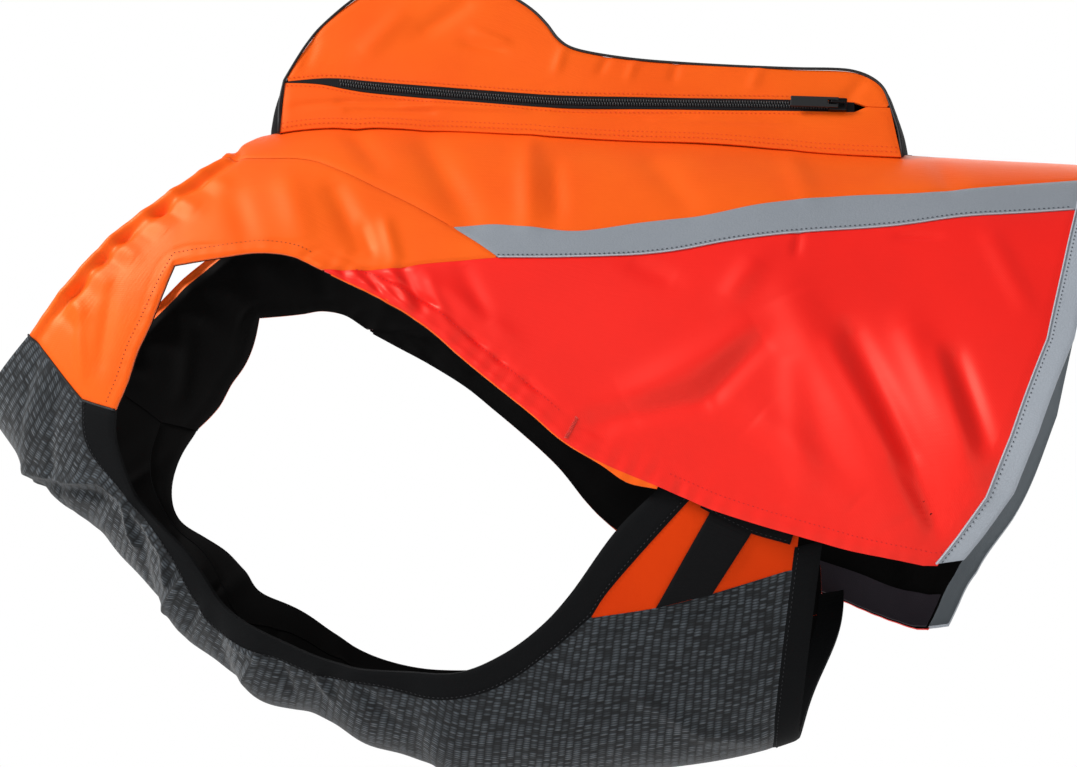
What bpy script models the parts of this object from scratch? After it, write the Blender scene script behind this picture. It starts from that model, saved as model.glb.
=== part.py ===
"""Dog protective vest, worn form: a back with a long pouch, two side flaps, a chest and belly sling.

Metres, +Z up. The dog faces -X and its left side is -Y. The origin is at the withers, at the front end
of the spine line. Tables are in millimetres and degrees, read as follows:

- the body form is a row of rings. Each ring leans forward and is given by its top and bottom point on
  the middle plane and by its half width. A station is a ring number, and may lie between two rings.
- the turn is the angle round a ring: 0 on the spine, 180 on the keel, negative on the left side.
- edges of the cut pieces are drawn in the side elevation (x to the rear, z up), as on a pattern.
"""

import math

import bmesh
import bpy
import numpy as np
from mathutils import Matrix, Vector

MM = 0.001

# Cloth and seams, in millimetres
SEAM_GAP = 0.3
OUTER_WALL = 1.5
LINING_WALL = 1.0
FACING_WALL = 1.0
TAPE_WALL = 1.9
TAPE_PROUD = 0.4
TRIM_WALL = 3.4
TRIM_PROUD = 0.5
BINDING_WALL = 2.4
BINDING_PROUD = 0.5
WEBBING_WALL = 1.6
HEM_FACING_SHARE = 0.55

LINING_LIFT = -(OUTER_WALL + SEAM_GAP)
HEM_FACING_LIFT = LINING_LIFT - LINING_WALL - 2.5 * SEAM_GAP
SLING_TUCK = 6.5

# The body form: rings from the neck to behind the rear hem
#    top_x  top_z  bottom_x bottom_z half_width fullness
RINGS = (
    (0, 0, -168, -172, 60, 0.08),
    (32, 4, -131, -219, 72, 0.08),
    (68, 4, -82, -263, 80, 0.06),
    (112, 2, -18, -332, 84, 0.06),
    (165, -2, 58, -376, 87, 0.06),
    (225, -7, 140, -400, 91, 0.04),
    (290, -13, 222, -394, 94, 0.02),
    (360, -21, 306, -373, 95, 0.0),
    (430, -28, 385, -352, 95, 0.0),
    (505, -35, 462, -335, 95, 0.0),
)
# How the hanging vest leaves its rings, in bumps. A bump on the right side alone fades out over
# HANG_FADE degrees at the spine and keel
#    side (0 for both), station, turn, reach in stations, reach in degrees, x moved, z moved
HANG = (
    (1, 1.6, 90, 0.6, 18, 12, 0),
    (1, 1.75, 112, 0.4, 12, 8, 0),
    (1, 1.9, 135, 0.6, 22, -13, -3),
    (1, 3.15, 140, 0.45, 22, 3, 9),
    (1, 4.3, 130, 0.5, 16, 0, -5),
    (1, 4.0, 84, 0.6, 12, 0, 3),
    (1, 5.5, 97, 0.7, 14, -7, -15),
    (1, 8.5, 113, 0.9, 12, -14, 3),
    (0, 1.55, 172, 0.3, 30, 3, 5),
    (0, 3.9, 180, 0.55, 30, 0, 5),
    (0, 6.9, 175, 0.7, 40, 0, -9),
    (1, 7.1, 121, 0.6, 18, 13, 0),
)
HANG_FADE = 25
# The neck end is turned a little to one side, and the sling is rolled a little, in degrees
NECK_YAW = 8.5
NECK_YAW_STATIONS = (0.3, 3.2)
SLING_ROLL = 4.0
SLING_ROLL_STATIONS = (0.0, 1.5, 4.5, 7.0)
SLING_ROLL_TURNS = (75, 125)
# The rear ends of both flaps are rolled a little the other way, and their corners stand away from the body
FLAP_ROLL = 2.0
FLAP_ROLL_STATIONS = (6.0, 8.2)
FLAP_ROLL_TURNS = (60, 115)
FLAP_STAND = 32.0
FLAP_STAND_STATIONS = (6.0, 8.8)
FLAP_STAND_TURNS = (60, 122)

# Edges of the cut pieces, left side elevation
#    x, z
YOKE_SEAM = ((-14, -23), (8, -26), (37, -29), (58, -39), (78, -51), (99, -63), (123, -78))
YOKE_END = ((123, -78), (137, -88), (150, -98))
TAPE_TOP = (
    (123, -78), (145, -77), (170, -80), (197, -83), (234, -78), (270, -74),
    (305, -67), (350, -63), (395, -62), (440, -57), (486, -53),
)
TAPE_BOTTOM = (
    (150, -98), (183, -99), (220, -99), (250, -97), (285, -91), (324, -87),
    (379, -84), (418, -79), (450, -77), (482, -75),
)
SHOULDER_SEAM = ((150, -98), (109, -101), (94, -103), (71, -104), (47, -103))
ARMHOLE_BACK = (
    (47, -103), (64, -112), (87, -125), (110, -141), (128, -157), (146, -172),
    (170, -191), (189, -207), (211, -220), (243, -235),
)
HEM = ((243, -235), (259, -243), (275, -251), (303, -262), (331, -271), (353, -277), (389, -283))
ARMHOLE_TOP = ((47, -103), (31, -94), (12, -91), (-7, -93), (-34, -96))
ARMHOLE_FRONT = ((-34, -96), (-46, -127), (-54, -143), (-60, -159), (-68, -174))
NECK_SIDE = (
    (-14, -23), (-26, -33), (-40, -45), (-69, -67), (-81, -78), (-103, -102), (-112, -112), (-128, -131),
)
STRAP_SEAM = ((-128, -131), (-110, -148), (-89, -168))
BINDING_OUTER = (
    (-89, -168), (-90, -188), (-84, -205), (-68, -225), (-48, -251), (-38, -273), (-32, -290),
    (-22, -304), (-6, -312), (14, -321), (40, -333), (76, -339), (105, -346), (131, -345),
    (155, -337), (179, -322), (203, -304),
)
BINDING_UPRIGHT = ((203, -304), (216, -287), (259, -244), (271, -233))
BINDING_INNER = (
    (-68, -174), (-70, -191), (-66, -213), (-59, -229), (-46, -243), (-34, -256), (-25, -271),
    (-17, -286), (-4, -297), (20, -311), (43, -322), (66, -328), (96, -330), (126, -330),
    (151, -321), (173, -307), (192, -289), (218, -257), (243, -235), (254, -225),
)
BELLY_TOP = ((203, -304), (240, -302), (271, -297), (315, -287))
SLING_TOP = ((271, -233), (292, -247), (316, -258))
WEBBING_FRONT = ((271, -252), (240, -302))
WEBBING_REAR = ((294, -266), (272, -297))
TOP_BINDING_LOW = ((266, -248), (292, -264), (316, -273))
TOP_BINDING_HIGH = ((273, -232), (298, -248), (322, -257))

# Edges that run round the body: the station at each turn
#    turn, station
NECK_TOP = ((0, 0.0), (20, 0.1), (42, 0.22))
TRIM_FRONT = ((0, 8.86), (45, 8.78), (81, 8.67), (102, 8.47), (113, 8.33), (120, 8.14), (124.5, 8.0))
TRIM_GAP_STATIONS = 0.004
TRIM_WIDTH_STATIONS = 0.2
REAR_STATION = 6.97
REAR_BINDING_STATIONS = 0.2
REAR_BINDING_GAP_STATIONS = 0.003
REAR_BINDING_TURN = 116

# Largest folds of the flaps, in side elevation: ridges, and troughs with a minus height
#    side, from_x, from_z, to_x, to_z, width, height
FLAP_FOLDS = (
    (-1, 376, -262, 318, -128, 21, 5.0),
    (-1, 418, -245, 384, -150, 16, 4.0),
    (-1, 300, -150, 226, -190, 20, 3.5),
    (-1, 352, -252, 300, -200, 15, 3.0),
    (-1, 300, -104, 284, -128, 12, 2.0),
    (-1, 84, -112, 128, -146, 9, 1.6),
    (-1, 104, -106, 160, -150, 9, 1.4),
    (1, 380, -258, 330, -132, 22, 4.5),
    (1, 424, -240, 372, -162, 15, 3.5),
    (1, 286, -146, 236, -196, 18, 3.0),
    (1, 340, -246, 286, -210, 15, 2.6),
    (1, 90, -114, 140, -152, 10, 1.6),
)
# Gathers of the elastic neck edge: where along it, and how deep
#    side, share_of_edge, depth
NECK_GATHERS = (
    (-1, 0.10, 1.6), (-1, 0.24, 2.4), (-1, 0.37, 1.5), (-1, 0.52, 2.2), (-1, 0.66, 1.4), (-1, 0.80, 2.3),
    (1, 0.14, 1.8), (1, 0.28, 2.2), (1, 0.45, 1.7), (1, 0.60, 2.4), (1, 0.76, 1.6), (1, 0.90, 2.0),
)
NECK_GATHER_WIDTH = 7.0
NECK_GATHER_RUN = (21, -15)
# Crumples of the chest panel: ridges across it
#    station, turn, run_stations, run_turn, width, height
CHEST_FOLDS = (
    (0.7, 165, 0.5, 60, 0.16, 3.0),
    (1.45, 170, 0.4, 50, 0.20, 2.0),
    (2.55, 172, 0.5, 44, 0.20, 5.0),
    (3.25, 178, 0.4, 50, 0.22, 5.5),
    (4.05, 176, 0.3, 52, 0.20, 4.5),
    (4.75, 182, 0.4, 60, 0.22, 3.5),
    (2.05, 215, 0.5, 50, 0.20, 4.0),
    (5.6, 205, 0.4, 50, 0.24, 3.0),
)

# The pouch on the back, side elevation of its left face
POUCH_HALF_BASE = 30.0
POUCH_LEAN = 0.2
POUCH_CROWN = 2.5
POUCH_CROWN_HEIGHT = 45.0
#    x, z
POUCH_FRONT = ((11, 0), (11, 14), (13, 29))
POUCH_TOP = (
    (13, 29), (20, 44), (26, 55), (34, 66), (50, 81.5), (64, 91), (81, 97.5), (100, 99), (119, 96.5),
    (139, 89), (153, 80), (163, 72), (171, 63), (178, 53), (186, 46.5), (200, 42), (223, 37.5), (246, 34.5),
    (280, 31.2), (320, 28.2), (345, 27), (357, 25.2), (367, 20.5), (374, 13), (378, 1),
)
POUCH_REAR = ((378, 1), (382, -14), (384, -29))
#    x, z, width
ZIP_LINE = (
    (13, 28, 0.8), (25, 28.3, 2.4), (37, 28, 4.5), (50, 26, 7.0), (68, 23, 8.0), (120, 16.5, 8.4),
    (177, 10.5, 8.4), (235, 7.5, 8.0), (300, 4.8, 7.6), (345, 2.2, 7.2), (357, 1.4, 6.6),
)
ZIP_END_X = 357.0
#    share_along, bulge
GUSSET_BULGE = ((0.0, 11.0), (0.03, 7.5), (0.06, 3.2), (0.12, 2.0), (0.8, 2.0), (0.93, 4.0), (1.0, 5.0))

# Slider and pull tab, in their own frame: x to the rear along the zip, y out of the face, z across it
SLIDER_X = 347.0
SLIDER_LENGTH = 11.0
SLIDER_WIDTH = 8.6
SLIDER_BASE = 0.5
SLIDER_TOP = 3.2
BRIDGE_LENGTH = 8.0
BRIDGE_WIDTH = 1.6
BRIDGE_TOP = 6.0
BRIDGE_OPEN = (3.4, 5.2)
BRIDGE_LEG = 1.0
PULL_AXIS_OUT = 4.3
PULL_LENGTH = 28.0
PULL_WIDTH = 7.0
PULL_WALL = 1.4
PULL_EYE = (0.5, 6.0, 3.2)
PULL_BEHIND = 0.5

COLOURS = {
    #               red    green  blue   roughness
    "orange_cloth": (1.00, 0.14, 0.015, 0.65),
    "red_cloth": (1.00, 0.022, 0.022, 0.65),
    "reflective_tape": (0.29, 0.32, 0.36, 0.45),
    "reflective_trim": (0.42, 0.46, 0.52, 0.45),
    "grey_cloth": (0.022, 0.027, 0.030, 0.85),
    "black_binding": (0.006, 0.007, 0.009, 0.75),
    "black_lining": (0.004, 0.004, 0.005, 0.80),
    "black_webbing": (0.008, 0.008, 0.010, 0.70),
    "zip_tape": (0.010, 0.010, 0.012, 0.75),
    "zip_metal": (0.020, 0.020, 0.022, 0.40),
    "pull_rubber": (0.012, 0.012, 0.013, 0.70),
}


# ---- curves and rings ----

def spline(table, share):
    """Rows of a table read at shares 0 to 1 of its row count, on a smooth curve through the rows."""
    rows = np.asarray(table, float)
    last = len(rows) - 1
    place = np.clip(np.asarray(share, float), 0, 1) * last
    low = np.minimum(place.astype(int), max(last - 1, 0))
    part = (place - low)[:, None]
    here = rows[low]
    after = rows[np.minimum(low + 1, last)]
    before = np.where((low > 0)[:, None], rows[np.maximum(low - 1, 0)], 2 * here - after)
    beyond = np.where((low + 2 <= last)[:, None], rows[np.minimum(low + 2, last)], 2 * after - here)
    pull = after - before
    bend = 2 * before - 5 * here + 4 * after - beyond
    rest = 3 * here - before - 3 * after + beyond
    return here + 0.5 * (pull * part + bend * part**2 + rest * part**3)


def evenly(points, count):
    """The same line with count points, equally far apart."""
    steps = np.linalg.norm(np.diff(points, axis=0), axis=1)
    along = np.concatenate([[0.0], np.cumsum(steps)])
    at = np.linspace(0, along[-1], count)
    return np.stack([np.interp(at, along, column) for column in points.T], axis=1)


def edge(table, count, backwards=False):
    """An edge of a cut piece with count points."""
    dense = spline(table, np.linspace(0, 1, 16 * (len(table) - 1) + 1))
    return evenly(dense[::-1] if backwards else dense, count)


def chain(*edges):
    """Edges that follow each other, as one."""
    return np.concatenate([edges[0]] + [following[1:] for following in edges[1:]])


def step(value, low, high):
    """A smooth step from 0 at low to 1 at high."""
    part = np.clip((np.asarray(value, float) - low) / (high - low), 0, 1)
    return part * part * (3 - 2 * part)


def ring_at(station):
    """Ring columns at any station, carried on straight past both ends."""
    rings = np.asarray(RINGS, float)
    last = len(rings) - 1
    station = np.asarray(station, float)
    inside = spline(RINGS, station / last)
    front = rings[0] + (rings[1] - rings[0]) * station[:, None]
    rear = rings[-1] + (rings[-1] - rings[-2]) * (station - last)[:, None]
    inside = np.where((station < 0)[:, None], front, inside)
    return np.where((station > last)[:, None], rear, inside)


def place(elevation):
    """Station and turn (left side, positive) of points of the side elevation."""
    x, z = elevation[:, 0], elevation[:, 1]
    low = np.full(len(x), -1.0)
    high = np.full(len(x), len(RINGS) + 0.0)
    for _ in range(40):
        middle = (low + high) / 2
        ring = ring_at(middle)
        along_x = ring[:, 2] - ring[:, 0]
        along_z = ring[:, 3] - ring[:, 1]
        behind = (z - ring[:, 1]) * along_x > (x - ring[:, 0]) * along_z
        low = np.where(behind, middle, low)
        high = np.where(behind, high, middle)
    span = along_x**2 + along_z**2
    share = ((x - ring[:, 0]) * along_x + (z - ring[:, 1]) * along_z) / span
    turn = np.degrees(np.arccos(np.clip(1 - 2 * share, -1, 1)))
    return np.stack([middle, turn], axis=1)


def elevation_of(station, turn):
    """Side elevation of points given by station and turn."""
    ring = ring_at(station)
    share = ((1 - np.cos(np.radians(turn))) / 2)[:, None]
    return ring[:, 0:2] + (ring[:, 2:4] - ring[:, 0:2]) * share


# ---- the skin: body form, how it hangs, folds ----

def wrapped(turn):
    """The same turn between -180 and 180."""
    return np.mod(np.asarray(turn, float) + 180, 360) - 180


def hang(station, turn):
    """How far the hanging vest has moved from its rings, in x and z."""
    away = np.abs(turn)
    fade = step(away, 0, HANG_FADE) * step(180 - away, 0, HANG_FADE)
    moved = np.zeros((len(turn), 2))
    for side, middle, middle_turn, reach, reach_turn, x, z in HANG:
        weight = np.exp(-(((station - middle) / reach) ** 2) - ((away - middle_turn) / reach_turn) ** 2)
        if side:
            weight = weight * fade * (np.sign(turn) == side)
        moved += weight[:, None] * (x, z)
    return moved


def form(station, turn):
    """Points of the plain body form, in millimetres."""
    turn = wrapped(turn)
    moved = hang(station, turn)
    enter, full, leave, gone = SLING_ROLL_STATIONS
    share = step(station, enter, full) - step(station, leave, gone)
    sling_roll = SLING_ROLL * share * step(np.abs(turn), *SLING_ROLL_TURNS)
    flap_roll = FLAP_ROLL * step(station, *FLAP_ROLL_STATIONS) * step(np.abs(turn), *FLAP_ROLL_TURNS)
    turn = turn - sling_roll + flap_roll
    ring = ring_at(station)
    angle = np.radians(turn)
    elevation = elevation_of(station, turn)
    y = ring[:, 4] * np.sin(angle) * (1 + ring[:, 5] * np.cos(angle))
    yaw = np.radians(NECK_YAW * (1 - step(station, *NECK_YAW_STATIONS)))
    x = elevation[:, 0] + y * np.tan(yaw) + moved[:, 0]
    return np.stack([x, y, elevation[:, 1] + moved[:, 1]], axis=1)


def outward(station, turn):
    """Unit normals of the body form."""
    small_station, small_turn = 0.002, 0.1
    along = form(station + small_station, turn) - form(station - small_station, turn)
    around = form(station, turn + small_turn) - form(station, turn - small_turn)
    normal = np.cross(along, around)
    return normal / np.linalg.norm(normal, axis=1)[:, None]


def segment_bump(points, start, end, width, height):
    """A soft ridge of this width along a segment, fading at both ends."""
    run = np.subtract(end, start)
    share = ((points - start) @ run) / (run @ run)
    foot = start + np.clip(share, 0, 1)[:, None] * run
    away = np.linalg.norm(points - foot, axis=1) / width
    fade = 0.35 + 0.65 * np.sin(np.pi * np.clip(share, 0, 1)) ** 0.5
    return height * fade * np.exp(-2.2 * away**2)


def jacket_relief(station, turn):
    """How far folds and gathers lift the jacket cloth."""
    side = np.sign(turn)
    elevation = elevation_of(station, np.abs(turn))
    lift = np.zeros(len(station))
    for fold_side, from_x, from_z, to_x, to_z, width, height in FLAP_FOLDS:
        bump = segment_bump(elevation, (from_x, from_z), (to_x, to_z), width, height)
        lift += np.where(side == fold_side, bump, 0)
    neck = edge(NECK_SIDE, 200)
    for gather_side, share, depth in NECK_GATHERS:
        spot = neck[int(share * 199)]
        inner = spot + np.array(NECK_GATHER_RUN)
        bump = segment_bump(elevation, spot, inner, NECK_GATHER_WIDTH, depth)
        lift += np.where(side == gather_side, bump, 0)
    return lift


def sling_relief(station, turn):
    """How far crumples lift the chest and belly cloth, the turn counted from the left past the keel."""
    around = np.mod(-turn, 360)
    lift = np.zeros(len(station))
    for at, middle, run_stations, run_turn, width, height in CHEST_FOLDS:
        share = (around - middle) / run_turn
        offset = (station - at - run_stations * share * 0.5) / width
        lift += height * np.exp(-(offset**2)) * np.exp(-2.0 * share**2)
    return lift * (1 - 0.6 * step(station, 5.0, 6.5)) * step(station, 0.0, 0.5)


def skin(station, turn, lift, sling=False):
    """Points of a cloth surface that lies lift outside the body form, and the form's normals there."""
    normal = outward(station, turn)
    if sling:
        tuck = -SLING_TUCK * step(station, 1.5, 4.5)
        away = tuck + sling_relief(station, turn)
    else:
        stand = step(station, *FLAP_STAND_STATIONS) * step(np.abs(turn), *FLAP_STAND_TURNS)
        away = FLAP_STAND * stand + jacket_relief(station, turn)
    return form(station, turn) + normal * (away + lift)[:, None], normal


# ---- patches and walls ----

def coons(top, bottom, front, rear):
    """A patch of points between four edges: top and bottom run alike, front and rear run downwards."""
    across = np.linspace(0, 1, len(top))[:, None, None]
    down = np.linspace(0, 1, len(front))[None, :, None]
    ruled = (1 - down) * top[:, None] + down * bottom[:, None]
    ruled = ruled + (1 - across) * front[None] + across * rear[None]
    corners = (1 - down) * ((1 - across) * top[0] + across * top[-1])
    corners = corners + down * ((1 - across) * bottom[0] + across * bottom[-1])
    return ruled - corners


def straight(start, end, count):
    """Points from start to end."""
    return np.linspace(start, end, count)


def strip(first, second, rows):
    """A patch between two edges that run alike."""
    return coons(first, second, straight(first[0], second[0], rows), straight(first[-1], second[-1], rows))


def blunted(patch, share=0.35):
    """The patch with its pointed first end cut short."""
    patch = patch.copy()
    patch[0] = patch[0] * (1 - share) + patch[1] * share
    return patch


EDGE_ROWS = (
    (np.s_[:, 0], np.s_[:, 1]),
    (np.s_[:, -1], np.s_[:, -2]),
    (np.s_[0, :], np.s_[1, :]),
    (np.s_[-1, :], np.s_[-2, :]),
)


def inset(points, normals, gap):
    """The grid of points with its four edges drawn in by gap, within the surface."""
    moved = points.copy()
    for rim, beside in EDGE_ROWS:
        inward = np.cross(normals[rim], np.gradient(points[rim], axis=0))
        inward /= np.linalg.norm(inward, axis=1)[:, None]
        side = np.sign(np.sum(inward * (points[beside] - points[rim]), axis=1))
        moved[rim] += inward * side[:, None] * gap
    return moved


def grid_normals(points, outside):
    """Unit normals of a grid of points, on the side where outside lies."""
    normal = np.cross(np.gradient(points, axis=0), np.gradient(points, axis=1))
    normal /= np.linalg.norm(normal, axis=2)[:, :, None]
    middle = (points.shape[0] // 2, points.shape[1] // 2)
    return normal * np.sign(normal[middle] @ np.asarray(outside, float))


def material(name):
    """A Principled material with this piece's colour and roughness."""
    found = bpy.data.materials.get(name)
    if found:
        return found
    made = bpy.data.materials.new(name)
    made.use_nodes = True
    red, green, blue, roughness = COLOURS[name]
    shader = made.node_tree.nodes["Principled BSDF"]
    shader.inputs["Base Color"].default_value = (red, green, blue, 1.0)
    shader.inputs["Roughness"].default_value = roughness
    shader.inputs["Metallic"].default_value = 0.0
    return made


def wall(name, outer, normals, thickness, finish):
    """A closed wall between a grid of outer points and the same grid moved inwards."""
    rows, columns = outer.shape[:2]
    inner = outer - normals * thickness
    mesh = bmesh.new()
    layers = (outer.reshape(-1, 3), inner.reshape(-1, 3))
    sides = [[mesh.verts.new(Vector(point) * MM) for point in layer] for layer in layers]

    def corner(side, row, column):
        return sides[side][row * columns + column]

    for side in (0, 1):
        for row in range(rows - 1):
            for column in range(columns - 1):
                mesh.faces.new((
                    corner(side, row, column),
                    corner(side, row + 1, column),
                    corner(side, row + 1, column + 1),
                    corner(side, row, column + 1),
                ))
    rim = [(row, 0) for row in range(rows)]
    rim += [(rows - 1, column) for column in range(1, columns)]
    rim += [(row, columns - 1) for row in range(rows - 2, -1, -1)]
    rim += [(0, column) for column in range(columns - 2, 0, -1)]
    for here, after in zip(rim, rim[1:] + rim[:1]):
        mesh.faces.new((corner(0, *here), corner(0, *after), corner(1, *after), corner(1, *here)))
    bmesh.ops.recalc_face_normals(mesh, faces=mesh.faces)
    data = bpy.data.meshes.new(name)
    mesh.to_mesh(data)
    mesh.free()
    data.materials.append(material(finish))
    data.shade_smooth()
    data.set_sharp_from_angle(angle=math.radians(50))
    made = bpy.data.objects.new(name, data)
    bpy.context.scene.collection.objects.link(made)
    return made


def cloth(name, patch, lift, thickness, finish, sling=False):
    """A cut piece: a grid of (station, turn) laid on the skin, drawn in at its seams and given a wall."""
    flat = patch.reshape(-1, 2)
    points, normals = skin(flat[:, 0], flat[:, 1], lift, sling)
    points = points.reshape(patch.shape[:2] + (3,))
    normals = normals.reshape(points.shape)
    return wall(name, inset(points, normals, SEAM_GAP / 2 + 0.05), normals, thickness, finish)


def on_side(patch, side):
    """A patch of the side elevation as stations and turns of the left (-1) or right (1) side."""
    placed = place(patch.reshape(-1, 2)).reshape(patch.shape)
    return placed * (1, side)


def read(table, turn):
    """The second column of a table at a value of its first."""
    rows = np.asarray(table, float)
    return np.interp(turn, rows[:, 0], rows[:, 1])


# ---- jacket: back, yokes, side panels, tapes, trim ----

SIDES = (("left", -1), ("right", 1))
YOKE_COUNTS = (3, 9, 9)
SHOULDER_COUNTS = (7, 6, 8)
YOKE_ROWS = 7
TAPE_COUNT = 18
ARMHOLE_BACK_COUNT = 13
FLAP_ROWS = 10


def yoke_patch():
    upper = chain(
        edge(YOKE_END, YOKE_COUNTS[0], backwards=True),
        edge(YOKE_SEAM, YOKE_COUNTS[1], backwards=True),
        edge(NECK_SIDE, YOKE_COUNTS[2]),
    )
    lower = chain(
        edge(SHOULDER_SEAM, SHOULDER_COUNTS[0]),
        edge(ARMHOLE_TOP, SHOULDER_COUNTS[1]),
        edge(ARMHOLE_FRONT, SHOULDER_COUNTS[2]),
    )
    end = chain(edge(STRAP_SEAM, 6), np.array([BINDING_OUTER[0], BINDING_INNER[0]], float))
    return blunted(coons(upper, lower, straight(upper[0], lower[0], YOKE_ROWS), evenly(end, YOKE_ROWS)))


def side_patch():
    upper = chain(edge(SHOULDER_SEAM, SHOULDER_COUNTS[0], backwards=True), edge(TAPE_BOTTOM, TAPE_COUNT))
    hem_count = len(upper) - ARMHOLE_BACK_COUNT + 1
    lower = chain(edge(ARMHOLE_BACK, ARMHOLE_BACK_COUNT), edge(HEM, hem_count))
    turns = np.linspace(place(upper[-1:])[0, 1], place(lower[-1:])[0, 1], FLAP_ROWS)
    rear = elevation_of(read(TRIM_FRONT, turns), turns)
    upper[-1], lower[-1] = rear[0], rear[-1]
    return blunted(coons(upper, lower, straight(upper[0], lower[0], FLAP_ROWS), rear))


def tape_patch():
    upper = edge(TAPE_TOP, TAPE_COUNT)
    lower = edge(TAPE_BOTTOM, TAPE_COUNT)
    return coons(upper, lower, edge(YOKE_END, 3), straight(upper[-1], lower[-1], 3))


def back_patch():
    border = place(chain(edge(YOKE_SEAM, YOKE_COUNTS[1]), edge(TAPE_TOP, TAPE_COUNT)))
    station, turn = border[:, :1], border[:, 1:]
    turns = turn * np.linspace(-1, 1, 11)[None, :]
    front = read(NECK_TOP, np.abs(turns[0])) - station[0]
    rear = read(TRIM_FRONT, np.abs(turns[-1])) - station[-1]
    share = (station - station[0]) / (station[-1] - station[0])
    return np.stack([station + (1 - share) * front + share * rear, turns], axis=2)


def trim_patch():
    turn = np.linspace(-TRIM_FRONT[-1][0], TRIM_FRONT[-1][0], 45)
    front = read(TRIM_FRONT, np.abs(turn)) + TRIM_GAP_STATIONS
    return np.stack(
        [np.stack([front + TRIM_WIDTH_STATIONS * share, turn], axis=1) for share in (0, 0.5, 1)], axis=1
    )


def hem_facing(name, flap):
    """A strip inside the flap's lining, laid on the flap's own facets along the hem."""
    edge_rows = flap[ARMHOLE_BACK_COUNT:, -2:]
    flat = edge_rows.reshape(-1, 2)
    points, normals = (part.reshape(-1, 2, 3) for part in skin(flat[:, 0], flat[:, 1], HEM_FACING_LIFT))
    for grid in (points, normals):
        grid[:, 0] = grid[:, 1] + (grid[:, 0] - grid[:, 1]) * HEM_FACING_SHARE
    wall(name, inset(points, normals, SEAM_GAP / 2 + 0.05), normals, FACING_WALL, "black_lining")


def make_jacket():
    cloth("back_panel", back_patch(), 0, OUTER_WALL, "orange_cloth")
    cloth("rear_trim", trim_patch(), TRIM_PROUD, TRIM_WALL, "reflective_trim")
    for word, side in SIDES:
        yoke = on_side(yoke_patch(), side)
        flap = on_side(side_patch(), side)
        cloth(f"yoke_{word}", yoke, 0, OUTER_WALL, "orange_cloth")
        cloth(f"side_panel_{word}", flap, 0, OUTER_WALL, "red_cloth")
        cloth(f"yoke_lining_{word}", yoke, LINING_LIFT, LINING_WALL, "black_lining")
        cloth(f"side_lining_{word}", flap, LINING_LIFT, LINING_WALL, "black_lining")
        tape = on_side(tape_patch(), side)
        cloth(f"reflective_tape_{word}", tape, TAPE_PROUD, TAPE_WALL, "reflective_tape")
        hem_facing(f"hem_facing_{word}", flap)


# ---- sling: chest and belly ----

BINDING_COUNTS = (30, 7)
BELLY_COUNT = 9
STRAP_COUNT = 4


def chest_patch():
    border = place(chain(
        edge(STRAP_SEAM, STRAP_COUNT),
        edge(BINDING_OUTER, BINDING_COUNTS[0]),
        edge(BELLY_TOP, BELLY_COUNT),
    ))
    border[-1, 0] = REAR_STATION
    station, turn = border[:, :1], border[:, 1:]
    share = np.linspace(0, 1, 13)[None, :]
    keel = np.interp(station, (station[0, 0], station[-1, 0]), (-0.1, REAR_STATION))
    around = turn + (360 - 2 * turn) * share
    return np.stack([station + (keel - station) * np.sin(np.pi * share), -around], axis=2)


def binding_patch():
    outer = chain(edge(BINDING_OUTER, BINDING_COUNTS[0]), edge(BINDING_UPRIGHT, BINDING_COUNTS[1]))
    inner = edge(BINDING_INNER, len(outer))
    return strip(inner, outer, 3)


def belly_side_patch():
    upper = edge(SLING_TOP, BELLY_COUNT)
    lower = edge(BELLY_TOP, BELLY_COUNT)
    front = edge(BINDING_UPRIGHT, BINDING_COUNTS[1], backwards=True)
    rear_turns = np.linspace(place(upper[-1:])[0, 1], place(lower[-1:])[0, 1], BINDING_COUNTS[1])
    rear = elevation_of(np.full(BINDING_COUNTS[1], REAR_STATION), rear_turns)
    upper[-1], lower[-1] = rear[0], rear[-1]
    return coons(upper, lower, front, rear)


def rear_binding_patch():
    turn = np.linspace(REAR_BINDING_TURN, 360 - REAR_BINDING_TURN, 25)
    front = np.full(len(turn), REAR_STATION + REAR_BINDING_GAP_STATIONS)
    return np.stack([
        np.stack([front + REAR_BINDING_STATIONS * share, -turn], axis=1) for share in (0, 0.5, 1)
    ], axis=1)


def make_sling():
    cloth("chest_panel", chest_patch(), 0, OUTER_WALL, "grey_cloth", sling=True)
    rear = rear_binding_patch()
    cloth("belly_rear_binding", rear, BINDING_PROUD, BINDING_WALL, "black_binding", sling=True)
    for word, side in SIDES:
        binding = on_side(binding_patch(), side)
        cloth(f"armhole_binding_{word}", binding, BINDING_PROUD, BINDING_WALL, "black_binding", sling=True)
        belly = on_side(belly_side_patch(), side)
        cloth(f"belly_side_{word}", belly, 0, OUTER_WALL, "orange_cloth", sling=True)
        webbing = on_side(strip(edge(WEBBING_FRONT, 5), edge(WEBBING_REAR, 5), 3), side)
        lift = WEBBING_WALL + SEAM_GAP
        cloth(f"belly_webbing_{word}", webbing, lift, WEBBING_WALL, "black_webbing", sling=True)
        top = on_side(strip(edge(TOP_BINDING_LOW, 6), edge(TOP_BINDING_HIGH, 6), 3), side)
        cloth(f"belly_top_binding_{word}", top, lift, WEBBING_WALL, "black_binding", sling=True)


# ---- pouch on the back ----

FACE_ROWS = 6
ZIP_COUNT = 20
POUCH_COUNT = ZIP_COUNT + 3


def back_height(x, y):
    """Height of the back panel's outer surface at plan points."""
    station = np.interp(x, [ring[0] for ring in RINGS], np.arange(len(RINGS)))
    turn = np.degrees(np.asarray(y, float) / RINGS[4][4])
    for _ in range(30):
        points, _ = skin(station, turn, 0)
        station = station + (x - points[:, 0]) / 90
        turn = turn + np.degrees((y - points[:, 1]) / 130)
    return points[:, 2]


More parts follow.
